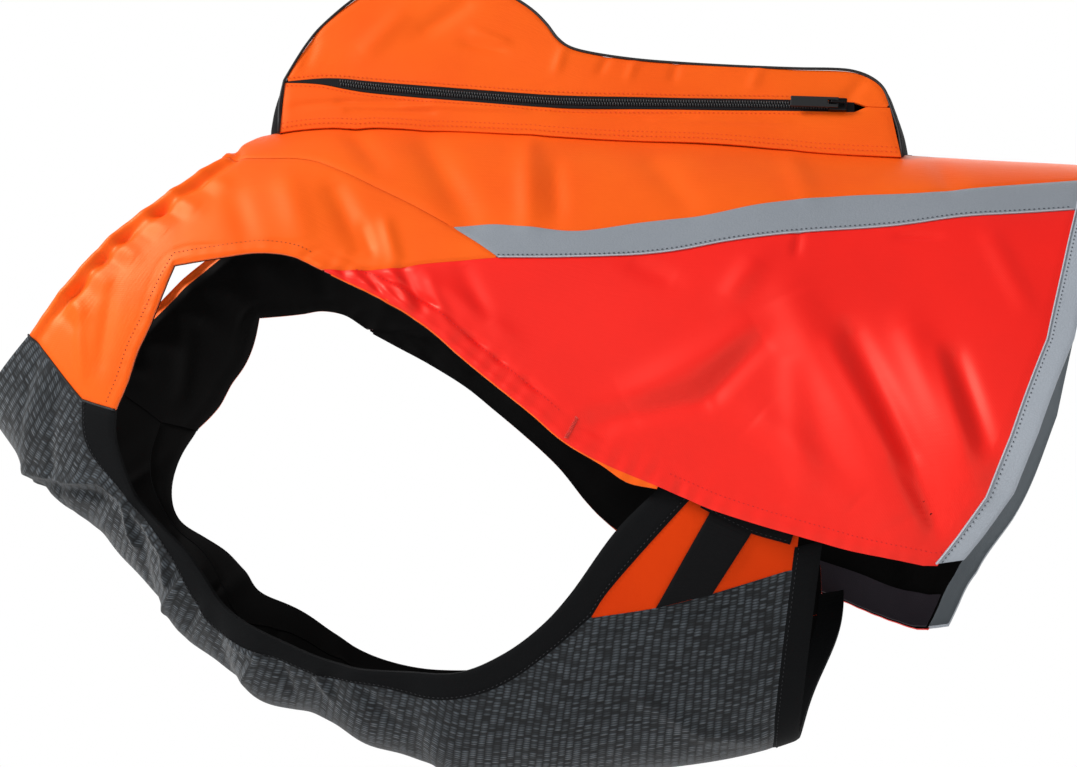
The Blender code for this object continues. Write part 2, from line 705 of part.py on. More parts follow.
def pouch_face(elevation, side):
    """Points of the pouch's leaning side face at this side elevation."""
    x, z = elevation[..., 0], elevation[..., 1]
    foot = np.interp(x, (POUCH_FRONT[0][0], POUCH_REAR[-1][0]), (POUCH_FRONT[0][1], POUCH_REAR[-1][1]))
    height = z - foot
    crown = POUCH_CROWN * np.exp(-(((height - POUCH_CROWN_HEIGHT / 2) / (POUCH_CROWN_HEIGHT / 2)) ** 2))
    half = POUCH_HALF_BASE - POUCH_LEAN * height + crown
    return np.stack([x, side * half, z], axis=-1)


def pouch_foot(count, side=-1):
    """The line where the pouch's side stands on the back panel, in side elevation."""
    x = np.linspace(POUCH_FRONT[0][0], POUCH_REAR[-1][0], count)
    z = back_height(x, np.full(count, side * (POUCH_HALF_BASE - OUTER_WALL)))
    return np.stack([x, z + SEAM_GAP], axis=1)


def zip_edge(above):
    """The upper (1) or lower (-1) edge of the zip."""
    line = edge(ZIP_LINE, ZIP_COUNT)
    return line[:, :2] + np.stack([np.zeros(ZIP_COUNT), above * line[:, 2] / 2], axis=1)


def zip_seam(above):
    """A zip edge and the seam that goes on behind it to the pouch's rear edge."""
    rear = POUCH_TOP[-1]
    behind = ((ZIP_END_X + 7, rear[1] + 0.6 + above * 0.1), (ZIP_END_X + 15, rear[1] + above * 0.1))
    return np.concatenate([zip_edge(above), behind, [(rear[0], rear[1] - 0.3 + above * 0.1)]])


def pouch_wall(name, patch, side, finish, thickness=OUTER_WALL, lift=0.0):
    """A wall of the pouch from a patch of its side elevation."""
    points = pouch_face(patch, side)
    normals = grid_normals(points, (0, side, 0))
    points = inset(points + normals * lift, normals, SEAM_GAP / 2 + 0.05)
    return wall(name, points, normals, thickness, finish)


def gusset_points():
    """The strip over the pouch's top, from its front foot to its rear foot."""
    foot = pouch_foot(2)
    outline = chain(
        np.concatenate([foot[:1], edge(POUCH_FRONT, 4)[1:]]),
        edge(POUCH_TOP, 34),
        np.concatenate([edge(POUCH_REAR, 4)[:-1], foot[-1:]]),
    )
    along = np.gradient(outline, axis=0)
    out = np.stack([-along[:, 1], along[:, 0]], axis=1) / np.linalg.norm(along, axis=1)[:, None]
    share = np.linspace(0, 1, len(outline))
    bulge = read(GUSSET_BULGE, share)
    half = np.abs(pouch_face(outline, 1)[:, 1]) - OUTER_WALL - SEAM_GAP
    rows = []
    for across in np.linspace(-1, 1, 5):
        lifted = outline + out * (bulge * (1 - across**2))[:, None]
        rows.append(np.stack([lifted[:, 0], half * across, lifted[:, 1]], axis=1))
    points = np.stack(rows, axis=1)
    for end in (0, -1):
        points[end, :, 2] = back_height(points[end, :, 0], points[end, :, 1]) + 3 * SEAM_GAP
    return points


def make_pouch():
    foot = pouch_foot(POUCH_COUNT)
    over_zip = strip(edge(POUCH_TOP, POUCH_COUNT), zip_seam(1), FACE_ROWS)
    over_zip = blunted(blunted(over_zip)[::-1])
    pouch_wall("pouch_upper_left", over_zip, -1, "orange_cloth")
    pouch_wall("pouch_lower_left", strip(zip_seam(-1), foot, 4), -1, "orange_cloth")
    whole_foot = pouch_foot(26, 1)
    front = np.concatenate([np.array(POUCH_FRONT[::-1][:-1], float), whole_foot[:1]])
    rear = np.concatenate([np.array(POUCH_REAR[:-1], float), whole_foot[-1:]])
    whole = coons(edge(POUCH_TOP, 26), whole_foot, evenly(front, 7), evenly(rear, 7))
    pouch_wall("pouch_right", whole, 1, "orange_cloth")
    tape = strip(zip_edge(1), zip_edge(-1), 3)
    pouch_wall("zip_tape", tape, -1, "zip_tape", thickness=LINING_WALL, lift=-SEAM_GAP)
    points = gusset_points()
    normals = grid_normals(points, (0, 0, 1))
    for end in (0, -1):
        normals[end, :, 2] = 0
        normals[end] /= np.linalg.norm(normals[end], axis=1)[:, None]
    wall("pouch_gusset", inset(points, normals, SEAM_GAP / 2), normals, OUTER_WALL, "black_binding")


# ---- zip slider and pull tab ----

def box(name, x, y, z, finish=None, round_off=0.0):
    """A closed box between three pairs of values, in millimetres, with softened edges."""
    mesh = bmesh.new()
    bmesh.ops.create_cube(mesh, size=1.0)
    for corner in mesh.verts:
        low_high = (x, y, z)
        corner.co = Vector([pair[0 if value < 0 else 1] for pair, value in zip(low_high, corner.co)]) * MM
    if round_off:
        bmesh.ops.bevel(
            mesh, geom=mesh.edges[:], offset=round_off * MM, segments=2, profile=0.5, affect="EDGES"
        )
    data = bpy.data.meshes.new(name)
    mesh.to_mesh(data)
    mesh.free()
    if finish:
        data.materials.append(material(finish))
    made = bpy.data.objects.new(name, data)
    bpy.context.scene.collection.objects.link(made)
    return made


def joined(target, helper, operation):
    """A Boolean with a hidden helper."""
    helper.hide_render = True
    helper.display_type = "WIRE"
    change = target.modifiers.new(helper.name, "BOOLEAN")
    change.object = helper
    change.operation = operation
    change.solver = "EXACT"


def slider_frame():
    """The slider's frame: x along the zip to the rear, y out of the pouch's face."""
    line = edge(ZIP_LINE, ZIP_COUNT)
    x = SLIDER_X + np.array([-SLIDER_LENGTH, 0, SLIDER_LENGTH]) / 2
    middle = np.stack([x, np.interp(x, line[:, 0], line[:, 1])], axis=1)
    before, spot, after = pouch_face(middle, -1)
    above = pouch_face(middle[1] + (0, SLIDER_WIDTH / 2), -1)
    along = Vector(after - before).normalized()
    out = along.cross(Vector(above - spot)).normalized()
    axes = Matrix((along, out, along.cross(out))).transposed()
    return Matrix.Translation(Vector(spot) * MM) @ axes.to_4x4()


def make_slider():
    frame = slider_frame()
    half_length, half_width = SLIDER_LENGTH / 2, SLIDER_WIDTH / 2
    body = box(
        "zip_slider", (-half_length, half_length), (SLIDER_BASE, SLIDER_TOP),
        (-half_width, half_width), "zip_metal", round_off=0.7,
    )
    half_bridge = BRIDGE_LENGTH / 2
    bridge = box(
        "bridge_helper", (-half_bridge, half_bridge), (SLIDER_TOP - 0.8, BRIDGE_TOP),
        (-BRIDGE_WIDTH / 2, BRIDGE_WIDTH / 2), round_off=0.3,
    )
    opening = half_bridge - BRIDGE_LEG
    window = box("bridge_window_helper", (-opening, opening), BRIDGE_OPEN, (-BRIDGE_WIDTH, BRIDGE_WIDTH))
    joined(body, bridge, "UNION")
    joined(body, window, "DIFFERENCE")
    for piece in (body, bridge, window):
        piece.matrix_world = frame


def make_pull():
    hinge = slider_frame() @ Matrix.Translation((0, PULL_AXIS_OUT * MM, 0))
    half_wall, half_width = PULL_WALL / 2, PULL_WIDTH / 2
    near, far, width = PULL_EYE
    tab = box(
        "zip_pull", (-PULL_LENGTH, PULL_BEHIND), (-half_wall, half_wall),
        (-half_width, half_width), "pull_rubber", round_off=0.35,
    )
    eye = box("pull_eye_helper", (-far, -near), (-2 * PULL_WALL, 2 * PULL_WALL), (-width / 2, width / 2))
    joined(tab, eye, "DIFFERENCE")
    for piece in (tab, eye):
        piece.matrix_world = hinge


for old in list(bpy.data.objects):
    bpy.data.objects.remove(old, do_unlink=True)
make_jacket()
make_sling()
make_pouch()
make_slider()
make_pull()
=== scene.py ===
"""Looks of the dog protective vest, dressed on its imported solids.

The cloth pieces are fine shells laid on the same body form as the solids, with the folds, gathers,
sewing, piping and zip teeth that the solids leave out. Lengths are in millimetres in the tables and in
metres in the meshes; +Z is up, the dog faces -X and its left side is -Y.
"""

import logging
import math
from dataclasses import dataclass, field
from enum import Enum
from typing import Any, Iterable, Mapping, Sequence

import bpy
import numpy as np
from mathutils import Matrix, Vector


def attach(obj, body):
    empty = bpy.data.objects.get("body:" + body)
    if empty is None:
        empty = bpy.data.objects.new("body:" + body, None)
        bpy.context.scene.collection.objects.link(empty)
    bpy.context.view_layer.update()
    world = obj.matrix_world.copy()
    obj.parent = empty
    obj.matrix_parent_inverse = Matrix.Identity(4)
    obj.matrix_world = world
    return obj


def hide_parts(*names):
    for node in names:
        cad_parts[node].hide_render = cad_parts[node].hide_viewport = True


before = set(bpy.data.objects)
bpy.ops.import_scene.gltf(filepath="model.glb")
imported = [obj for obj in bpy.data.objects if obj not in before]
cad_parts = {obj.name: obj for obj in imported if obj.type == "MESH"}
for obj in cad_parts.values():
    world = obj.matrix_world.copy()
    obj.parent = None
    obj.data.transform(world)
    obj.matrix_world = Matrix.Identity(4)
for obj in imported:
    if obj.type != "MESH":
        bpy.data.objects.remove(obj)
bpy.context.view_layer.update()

LOG = logging.getLogger("vest")
MM = 0.001
BODY = "vest"
SIDES = (("left", -1), ("right", 1))
Table = tuple[tuple[float, ...], ...]
Grid = np.ndarray
# Slubs in the plain cloths, repeats in a metre along and across the yarn
SLUB_LENGTHWAYS, SLUB_CROSSWAYS = 90.0, 700.0
# How the chest cloth's ribs waver, repeats in a metre, and a float's length as a share of the rib pitch
RIB_WAVER = 30.0
FLOAT_SHARE = 0.34


# ---- colours, nodes and finishes ----

def linear(code: str) -> tuple[float, float, float, float]:
    """Turn an sRGB hex colour to linear light.

    Args:
        code: the colour as #RRGGBB.

    Returns:
        Red, green, blue and an alpha of one.
    """
    parts = [int(code[at:at + 2], 16) / 255 for at in (1, 3, 5)]
    light = [part / 12.92 if part <= 0.04045 else ((part + 0.055) / 1.055) ** 2.4 for part in parts]
    return (light[0], light[1], light[2], 1.0)


def add_node(
    tree: bpy.types.NodeTree,
    kind: str,
    settings: Mapping[str, Any] | None = None,
    links: Mapping[Any, bpy.types.NodeSocket] | None = None,
) -> bpy.types.Node:
    """Add a shader node with its settings and links.

    Args:
        tree: the node tree that the node joins.
        kind: the node's type name, without its ShaderNode.
        settings: attributes of the node, or values of its inputs by name or number.
        links: sockets that feed its inputs, by name or number.

    Returns:
        The new node.
    """
    node = tree.nodes.new("ShaderNode" + kind)
    for key, value in (settings or {}).items():
        if isinstance(key, str) and hasattr(node, key):
            setattr(node, key, value)
        else:
            node.inputs[key].default_value = value
    for key, socket in (links or {}).items():
        tree.links.new(socket, node.inputs[key])
    return node


def blank_material(name: str) -> tuple[bpy.types.Material, bpy.types.NodeTree]:
    """Make a material with an empty node tree."""
    made = bpy.data.materials.new(name)
    made.use_nodes = True
    made.node_tree.nodes.clear()
    return made, made.node_tree


class Weave(Enum):
    """How a cloth's surface is made."""

    PLAIN = "plain weave"
    RIBBED = "ribs of short floats"
    CORDED = "corded webbing"
    BEADED = "glass beads under film"


@dataclass(frozen=True)
class ClothFinish:
    """A cloth: its colours, its weave and how it takes the light.

    Spacings are in millimetres on the cloth, read from the mesh's own map, which is in metres.
    """

    name: str
    colour: str
    shade: str
    weave: Weave
    spacing: float
    roughness: float
    relief: float
    sheen: float = 0.0
    mottle: float = 0.25
    specular: float = 0.3
    valley: float = 0.55
    crest: float = 0.6
    gloss: str = "#FFFFFF"

    def material(self) -> bpy.types.Material:
        """Make the cloth's material, or return the one made before."""
        found = bpy.data.materials.get(self.name)
        if found:
            return found
        made, tree = blank_material(self.name)
        cloth_map = add_node(tree, "UVMap", {"uv_map": "cloth"})
        place = add_node(tree, "TexCoord")
        height = self._height(tree, cloth_map.outputs["UV"])
        patches = add_node(
            tree, "TexNoise", {"Scale": 14.0, "Detail": 3.0, "Roughness": 0.55},
            {"Vector": place.outputs["Object"]},
        )
        dull = add_node(
            tree, "MapRange",
            {"From Min": 0.35, "From Max": 0.7, "To Min": 0.0, "To Max": self.mottle},
            {"Value": patches.outputs["Fac"]},
        )
        # Darker in the weave's valleys: painted shade in the plain and corded weaves; in the ribbed cloth it
        # is the dark ground between the floats, and in the beaded tape the net of its sealing
        valley = add_node(
            tree, "MapRange",
            {"From Min": 0.0, "From Max": self.crest, "To Min": self.valley, "To Max": 0.0},
            {"Value": height},
        )
        # Random patches of tone, or the painted valley shade, whichever darkens more
        patches_and_valley_shade = add_node(
            tree, "Math", {"operation": "MAXIMUM"},
            {0: dull.outputs["Result"], 1: valley.outputs["Result"]},
        )
        colour = add_node(
            tree, "Mix",
            {"data_type": "RGBA", 6: linear(self.colour), 7: linear(self.shade)},
            {0: patches_and_valley_shade.outputs[0]},
        )
        uneven = add_node(
            tree, "TexNoise", {"Scale": 160.0, "Detail": 2.0},
            {"Vector": place.outputs["Object"]},
        )
        soft = add_node(tree, "Math", {"operation": "MULTIPLY", 1: 0.5}, {0: uneven.outputs["Fac"]})
        relief = add_node(tree, "Math", {"operation": "ADD"}, {0: height, 1: soft.outputs[0]})
        bump = add_node(
            tree, "Bump", {"Strength": 1.0, "Distance": self.relief * MM},
            {"Height": relief.outputs[0]},
        )
        shader = add_node(
            tree, "BsdfPrincipled",
            {
                "Roughness": self.roughness, "Sheen Weight": self.sheen, "Sheen Roughness": 0.5,
                "Specular IOR Level": self.specular, "Specular Tint": linear(self.gloss),
                "Sheen Tint": linear(self.gloss),
            },
            {"Base Color": colour.outputs[2], "Normal": bump.outputs["Normal"]},
        )
        add_node(tree, "OutputMaterial", links={"Surface": shader.outputs["BSDF"]})
        return made

    def _height(self, tree: bpy.types.NodeTree, cloth_map: bpy.types.NodeSocket) -> bpy.types.NodeSocket:
        """Draw the weave's height, from 0 in its valleys to 1 on its threads.

        Args:
            tree: the material's node tree.
            cloth_map: the cloth's own map, in metres.

        Returns:
            The socket that gives the height.
        """
        turns = 2 * math.pi / (self.spacing * MM)
        if self.weave is Weave.BEADED:
            cells = add_node(
                tree, "TexVoronoi",
                {"feature": "DISTANCE_TO_EDGE", "Scale": 1 / (self.spacing * MM)}, {"Vector": cloth_map},
            )
            wall = add_node(
                tree, "MapRange", {"From Min": 0.0, "From Max": 0.16}, {"Value": cells.outputs[0]}
            )
            return wall.outputs["Result"]
        split = add_node(tree, "SeparateXYZ", links={0: cloth_map})
        if self.weave is Weave.RIBBED:
            return self._ribs(tree, cloth_map, split)
        waves = []
        for axis in ("X", "Y"):
            angle = add_node(tree, "Math", {"operation": "MULTIPLY", 1: turns}, {0: split.outputs[axis]})
            waves.append(add_node(tree, "Math", {"operation": "SINE"}, {0: angle.outputs[0]}))
        woven = waves[0]
        if self.weave is Weave.PLAIN:
            woven = add_node(
                tree, "Math", {"operation": "MULTIPLY"},
                {0: waves[0].outputs[0], 1: waves[1].outputs[0]},
            )
        threads = add_node(
            tree, "MapRange", {"From Min": -1.0, "From Max": 1.0}, {"Value": woven.outputs[0]}
        )
        # Thicker yarns here and there: streaks along the cloth, eight times as long as they are wide
        drawn = add_node(
            tree, "Mapping",
            {"Scale": (SLUB_LENGTHWAYS, SLUB_CROSSWAYS, 1.0)}, {"Vector": cloth_map},
        )
        slubs = add_node(
            tree, "TexNoise", {"Scale": 1.0, "Detail": 2.0}, {"Vector": drawn.outputs["Vector"]}
        )
        height = add_node(
            tree, "Math", {"operation": "MULTIPLY_ADD", 1: 0.5},
            {0: threads.outputs["Result"], 2: slubs.outputs["Fac"]},
        )
        return height.outputs[0]

    def _ribs(
        self, tree: bpy.types.NodeTree, cloth_map: bpy.types.NodeSocket, split: bpy.types.Node
    ) -> bpy.types.NodeSocket:
        """Draw upright ribs of short floats, each float as bright and high as chance makes it.

        Args:
            tree: the material's node tree.
            cloth_map: the cloth's own map, in metres.
            split: the node that gives the map's two directions.

        Returns:
            The socket that gives the height.
        """
        waver = add_node(tree, "TexNoise", {"Scale": RIB_WAVER}, {"Vector": cloth_map})
        steered = add_node(
            tree, "Math", {"operation": "MULTIPLY_ADD", 1: 0.6 * self.spacing * MM},
            {0: waver.outputs["Fac"], 2: split.outputs["X"]},
        )
        rib = add_node(tree, "Math", {"operation": "DIVIDE", 1: self.spacing * MM}, {0: steered.outputs[0]})
        number = add_node(tree, "Math", {"operation": "FLOOR"}, {0: rib.outputs[0]})
        run = add_node(
            tree, "Math", {"operation": "DIVIDE", 1: FLOAT_SHARE * self.spacing * MM},
            {0: split.outputs["Y"]},
        )
        staggered = add_node(
            tree, "Math", {"operation": "MULTIPLY_ADD", 1: 0.5},
            {0: number.outputs[0], 2: run.outputs[0]},
        )
        row = add_node(tree, "Math", {"operation": "FLOOR"}, {0: staggered.outputs[0]})
        cell = add_node(tree, "CombineXYZ", links={0: number.outputs[0], 1: row.outputs[0]})
        chance = add_node(tree, "TexWhiteNoise", {"noise_dimensions": "2D"}, {"Vector": cell.outputs[0]})
        bright = add_node(
            tree, "MapRange", {"To Min": 0.05, "To Max": 1.0}, {"Value": chance.outputs["Value"]}
        )
        height = bright.outputs["Result"]
        for place in (rib, staggered):
            part = add_node(tree, "Math", {"operation": "FRACT"}, {0: place.outputs[0]})
            angle = add_node(tree, "Math", {"operation": "MULTIPLY", 1: math.pi}, {0: part.outputs[0]})
            swell = add_node(tree, "Math", {"operation": "SINE"}, {0: angle.outputs[0]})
            product = add_node(tree, "Math", {"operation": "MULTIPLY"}, {0: swell.outputs[0], 1: height})
            height = product.outputs[0]
        return height


@dataclass(frozen=True)
class HardFinish:
    """A hard or spun material without a weave: thread, moulded rubber, lacquered metal."""

    name: str
    colour: str
    roughness: float
    metallic: float = 0.0
    grain: float = 0.02
    grain_size: float = 0.6

    def material(self) -> bpy.types.Material:
        """Make the material, or return the one made before."""
        found = bpy.data.materials.get(self.name)
        if found:
            return found
        made, tree = blank_material(self.name)
        place = add_node(tree, "TexCoord")
        grain = add_node(
            tree, "TexNoise", {"Scale": 1 / (self.grain_size * MM), "Detail": 2.0},
            {"Vector": place.outputs["Object"]},
        )
        bump = add_node(
            tree, "Bump", {"Strength": 1.0, "Distance": self.grain * MM},
            {"Height": grain.outputs["Fac"]},
        )
        shader = add_node(
            tree, "BsdfPrincipled",
            {"Base Color": linear(self.colour), "Roughness": self.roughness, "Metallic": self.metallic},
            {"Normal": bump.outputs["Normal"]},
        )
        add_node(tree, "OutputMaterial", links={"Surface": shader.outputs["BSDF"]})
        return made


# Dyed polyester, plain woven and coated: a soft gloss in the dye's own colour, and a weave that is too
# fine to show at its real 0.4 mm, so it is drawn at 1.4 mm
ORANGE = ClothFinish(
    "woven_polyester_orange", "#FF620E", "#F04406", Weave.PLAIN, 1.4, 0.48, 0.10, 0.05, 0.4, 0.75,
    gloss="#FFC080",
)
RED = ClothFinish(
    "woven_polyester_red", "#FA0F0D", "#E4070B", Weave.PLAIN, 1.4, 0.45, 0.08, 0.05, 0.35, 0.85,
    gloss="#FFBCA0",
)
# Glass beads on grey film: dull silver, with the fine net of its sealing
TAPE = ClothFinish("glass_bead_tape", "#8E949C", "#828991", Weave.BEADED, 1.8, 0.45, 0.05, specular=0.4)
TRIM = ClothFinish("glass_bead_edging", "#A6ADB6", "#959CA5", Weave.BEADED, 1.8, 0.42, 0.05, specular=0.4)
# The edging's wrong side, away from the light: the same film, with painted shade darkening its grey
TRIM_REVERSE_PAINTED_SHADE = ClothFinish("edging_reverse_painted_shade", "#7C848A", "#6C747A", Weave.PLAIN, 1.4, 0.6, 0.08)
# The same cloth, with painted shade: its colour is deeper and redder for the belly's shade, which the studio
# light doesn't make
BELLY_ORANGE_PAINTED_SHADE = ClothFinish(
    "woven_polyester_orange_painted_shade", "#E23C08", "#CE2E05", Weave.PLAIN, 1.4, 0.55, 0.08, 0.0, 0.4, 0.4,
    gloss="#FFA060",
)
# Coarse filament cloth against thorns: ribs 4.8 mm apart of light floats on a near-black ground
ARMOUR = ClothFinish(
    "ribbed_filament_cloth", "#535B62", "#05070A", Weave.RIBBED, 4.8, 0.7, 0.7, 0.2, 0.3, 0.25, 1.0,
    0.95,
)
# Woven edge binding: near black, with fine cords across it that catch a little light
BINDING = ClothFinish(
    "woven_binding_black", "#090A0C", "#050607", Weave.CORDED, 1.6, 0.75, 0.08, specular=0.12,
)
# Warp-knit lining: dead black, it swallows the light inside the vest
LINING = ClothFinish(
    "warp_knit_lining_black", "#0D0C0C", "#070606", Weave.PLAIN, 1.6, 0.85, 0.04, specular=0.1,
)
FACING = ClothFinish("turned_hem_black", "#352F37", "#252127", Weave.PLAIN, 1.6, 0.7, 0.08, specular=0.25)
WEBBING = ClothFinish(
    "polyester_webbing_black", "#08080A", "#040405", Weave.CORDED, 2.2, 0.65, 0.15, specular=0.12,
)
ZIP_CLOTH = ClothFinish("zip_tape_black", "#0F0F12", "#08080A", Weave.CORDED, 1.2, 0.65, 0.06, specular=0.2)
# Spun polyester thread, dyed to match: soft sheen, no gloss
ORANGE_THREAD = HardFinish("spun_thread_orange", "#EE4A12", 0.7)
RED_THREAD = HardFinish("spun_thread_red", "#DC1418", 0.7)
DARK_RED_THREAD = HardFinish("spun_thread_brick", "#C04A40", 0.7)
GREY_THREAD = HardFinish("spun_thread_grey", "#444A52", 0.6)
PALE_THREAD = HardFinish("spun_thread_pale", "#B9BEC6", 0.6)
# Painted shade: a deep brick thread, much darker than its orange cloth, stands for the shade at the stitches
# beside the yoke's armhole
STITCH_THREAD_PAINTED_SHADE = HardFinish("thread_brick_painted_shade", "#8C2C14", 0.7)
BLACK_THREAD = HardFinish("spun_thread_black", "#1A1B1F", 0.7)
# Corded piping, wrapped in bias-cut cloth
BLACK_CORD = HardFinish("piping_black", "#0F1012", 0.6)
# Nylon coil of the zip: smooth filament, a little glossy
ZIP_COIL = HardFinish("nylon_coil_black", "#1C1D20", 0.4)
# Die-cast zinc under black lacquer
LACQUER = HardFinish("lacquered_zinc_black", "#111113", 0.35, 0.6)
# Moulded rubber: dull, with a fine grain from its mould
RUBBER = HardFinish("moulded_rubber_black", "#0C0C0E", 0.6)


# ---- curves ----

def spline(table: Sequence[Sequence[float]], share: np.ndarray) -> np.ndarray:
    """Read a table on a smooth curve through its rows.

    Args:
        table: the rows.
        share: where to read, from 0 to 1 of the row count.

    Returns:
        One row for each share.
    """
    rows = np.asarray(table, float)
    last = len(rows) - 1
    place = np.clip(np.asarray(share, float), 0, 1) * last
    low = np.minimum(place.astype(int), max(last - 1, 0))
    part = (place - low)[:, None]
    here = rows[low]
    after = rows[np.minimum(low + 1, last)]
    before = np.where((low > 0)[:, None], rows[np.maximum(low - 1, 0)], 2 * here - after)
    beyond = np.where((low + 2 <= last)[:, None], rows[np.minimum(low + 2, last)], 2 * after - here)
    pull = after - before
    bend = 2 * before - 5 * here + 4 * after - beyond
    rest = 3 * here - before - 3 * after + beyond
    return here + 0.5 * (pull * part + bend * part**2 + rest * part**3)


def lengths(points: np.ndarray) -> np.ndarray:
    """Length along a line at each of its points.

    Args:
        points: the line's points.

    Returns:
        The lengths, from 0.
    """
    steps = np.linalg.norm(np.diff(points, axis=0), axis=1)
    return np.concatenate([[0.0], np.cumsum(steps)])


def evenly(points: np.ndarray, count: int) -> np.ndarray:
    """Space a line's points evenly.

    Args:
        points: the line.
        count: how many points to give it.

    Returns:
        The same line with count points.
    """
    along = lengths(points)
    at = np.linspace(0, along[-1], count)
    return np.stack([np.interp(at, along, column) for column in points.T], axis=1)


def edge(table: Sequence[Sequence[float]], count: int, backwards: bool = False) -> np.ndarray:
    """Draw an edge of a cut piece.

    Args:
        table: the edge's points.
        count: how many points to give it.
        backwards: whether it runs from its last point to its first.

    Returns:
        The edge's points.
    """
    dense = spline(table, np.linspace(0, 1, 16 * (len(table) - 1) + 1))
    return evenly(dense[::-1] if backwards else dense, count)


def chain(*edges: np.ndarray) -> np.ndarray:
    """Join edges that follow each other.

    Args:
        edges: the edges, each starting where the one before ends.

    Returns:
        One edge.
    """
    return np.concatenate([edges[0]] + [following[1:] for following in edges[1:]])


def step(value: np.ndarray | float, low: float, high: float) -> np.ndarray:
    """Step smoothly from 0 to 1.

    Args:
        value: where to read the step.
        low: where it leaves 0.
        high: where it reaches 1.

    Returns:
        The step's value.
    """
    part = np.clip((np.asarray(value, float) - low) / (high - low), 0, 1)
    return part * part * (3 - 2 * part)


def read(table: Sequence[Sequence[float]], at: np.ndarray) -> np.ndarray:
    """Read a table's second column at values of its first.

    Args:
        table: the rows.
        at: the values.

    Returns:
        What the second column gives there.
    """
    rows = np.asarray(table, float)
    return np.interp(at, rows[:, 0], rows[:, 1])


def coons(top: np.ndarray, bottom: np.ndarray, front: np.ndarray, rear: np.ndarray) -> np.ndarray:
    """Fill a patch between four edges.

    Args:
        top: the upper edge.
        bottom: the lower edge, which runs as the upper one does.
        front: the edge that joins their starts, downwards.
        rear: the edge that joins their ends, downwards.

    Returns:
        A grid of points.
    """
    across = np.linspace(0, 1, len(top))[:, None, None]
    down = np.linspace(0, 1, len(front))[None, :, None]
    ruled = (1 - down) * top[:, None] + down * bottom[:, None]
    ruled = ruled + (1 - across) * front[None] + across * rear[None]
    corners = (1 - down) * ((1 - across) * top[0] + across * top[-1])
    corners = corners + down * ((1 - across) * bottom[0] + across * bottom[-1])
    return ruled - corners


def strip(first: np.ndarray, second: np.ndarray, rows: int) -> np.ndarray:
    """Fill a patch between two edges that run alike.

    Args:
        first: one edge.
        second: the other.
        rows: how many points lie across.

    Returns:
        A grid of points.
    """
    start = np.linspace(first[0], second[0], rows)
    end = np.linspace(first[-1], second[-1], rows)
    return coons(first, second, start, end)


# ---- the body form, as in the solids ----

@dataclass(frozen=True)
class Crease:
    """A soft fold on one side: a ridge, or a trough where its height is negative."""

    side: int
    from_x: float
    from_z: float
    to_x: float
    to_z: float
    width: float
    height: float

    def lift(self, points: np.ndarray) -> np.ndarray:
        """How far the fold lifts points of the side elevation.

        Args:
            points: x and z of the points.

        Returns:
            The lift at each point.
        """
        start = np.array([self.from_x, self.from_z])
        run = np.array([self.to_x, self.to_z]) - start
        share = ((points - start) @ run) / (run @ run)
        foot = start + np.clip(share, 0, 1)[:, None] * run
        away = np.linalg.norm(points - foot, axis=1) / self.width
        fade = 0.35 + 0.65 * np.sin(np.pi * np.clip(share, 0, 1)) ** 0.5
        return self.height * fade * np.exp(-2.2 * away**2)


def creases(*rows: tuple[float, ...]) -> tuple[Crease, ...]:
    """Creases from rows of their values: side, start x and z, end x and z, width and height."""
    return tuple(Crease(*row) for row in rows)


@dataclass(frozen=True)
class Gather:
    """Puckers along a sewn or elastic edge of one side, in the side elevation.

    A roll runs beside the edge and a trough beyond it, each given by its distance from the edge, its half
    width and its height. Deep places of the trough are given by their share of the edge, their half length
    and how many times deeper they are.
    """

    side: int
    line: Table
    roll: tuple[float, float, float]
    trough: tuple[float, float, float]
    pitch: float
    pucker: float
    reach: float
    deep: Table = ()

    def lift(self, points: np.ndarray) -> np.ndarray:
        """How far the gathers lift points of the side elevation.

        Args:
            points: x and z of the points.

        Returns:
            The lift at each point.
        """
        path = edge(self.line, 400)
        room = 3 * self.reach
        near = np.all((points > path.min(axis=0) - room) & (points < path.max(axis=0) + room), axis=1)
        lift = np.zeros(len(points))
        if not near.any():
            return lift
        apart = ((points[near][:, None, :] - path[None]) ** 2).sum(axis=2)
        foot = apart.argmin(axis=1)
        away = np.sqrt(apart[np.arange(len(foot)), foot])
        along = lengths(path)
        at = along[foot]
        depth = np.full(len(at), 0.3)
        for share, half, times in self.deep:
            depth += times * np.exp(-(((at - share * along[-1]) / half) ** 2))
        distance, width, height = self.roll
        found = height * np.exp(-(((away - distance) / width) ** 2))
        distance, width, height = self.trough
        found -= depth * height * np.exp(-(((away - distance) / width) ** 2))
        phase = 2 * math.pi * at / self.pitch + 1.9 * np.sin(at / 17 + self.side) + self.side
        found += self.pucker * np.sin(phase) * np.exp(-((away / self.reach) ** 2))
        lift[near] = found
        return lift


@dataclass(frozen=True)
class Crumple:
    """A ridge or trough across the chest and belly cloth."""

    station: float
    turn: float
    run_stations: float
    run_turn: float
    width: float
    height: float

    def lift(self, station: np.ndarray, around: np.ndarray) -> np.ndarray:
        """How far the crumple lifts the cloth.

        Args:
            station: ring numbers of the points.
            around: turns counted from the spine past the left side, 0 to 360.

        Returns:
            The lift at each point.
        """
        share = (around - self.turn) / self.run_turn
        offset = (station - self.station - self.run_stations * share * 0.5) / self.width
        return self.height * np.exp(-(offset**2)) * np.exp(-2.0 * share**2)


FLAP_FOLDS = creases(
    (-1, 376, -262, 318, -128, 21, 5.0), (-1, 418, -245, 384, -150, 16, 4.0),
    (-1, 300, -150, 226, -190, 20, 3.5), (-1, 352, -252, 300, -200, 15, 3.0),
    (-1, 300, -104, 284, -128, 12, 2.0), (-1, 84, -112, 128, -146, 9, 1.6),
    (-1, 104, -106, 160, -150, 9, 1.4), (1, 380, -258, 330, -132, 22, 4.5),
    (1, 424, -240, 372, -162, 15, 3.5), (1, 286, -146, 236, -196, 18, 3.0),
    (1, 340, -246, 286, -210, 15, 2.6), (1, 90, -114, 140, -152, 10, 1.6),
)
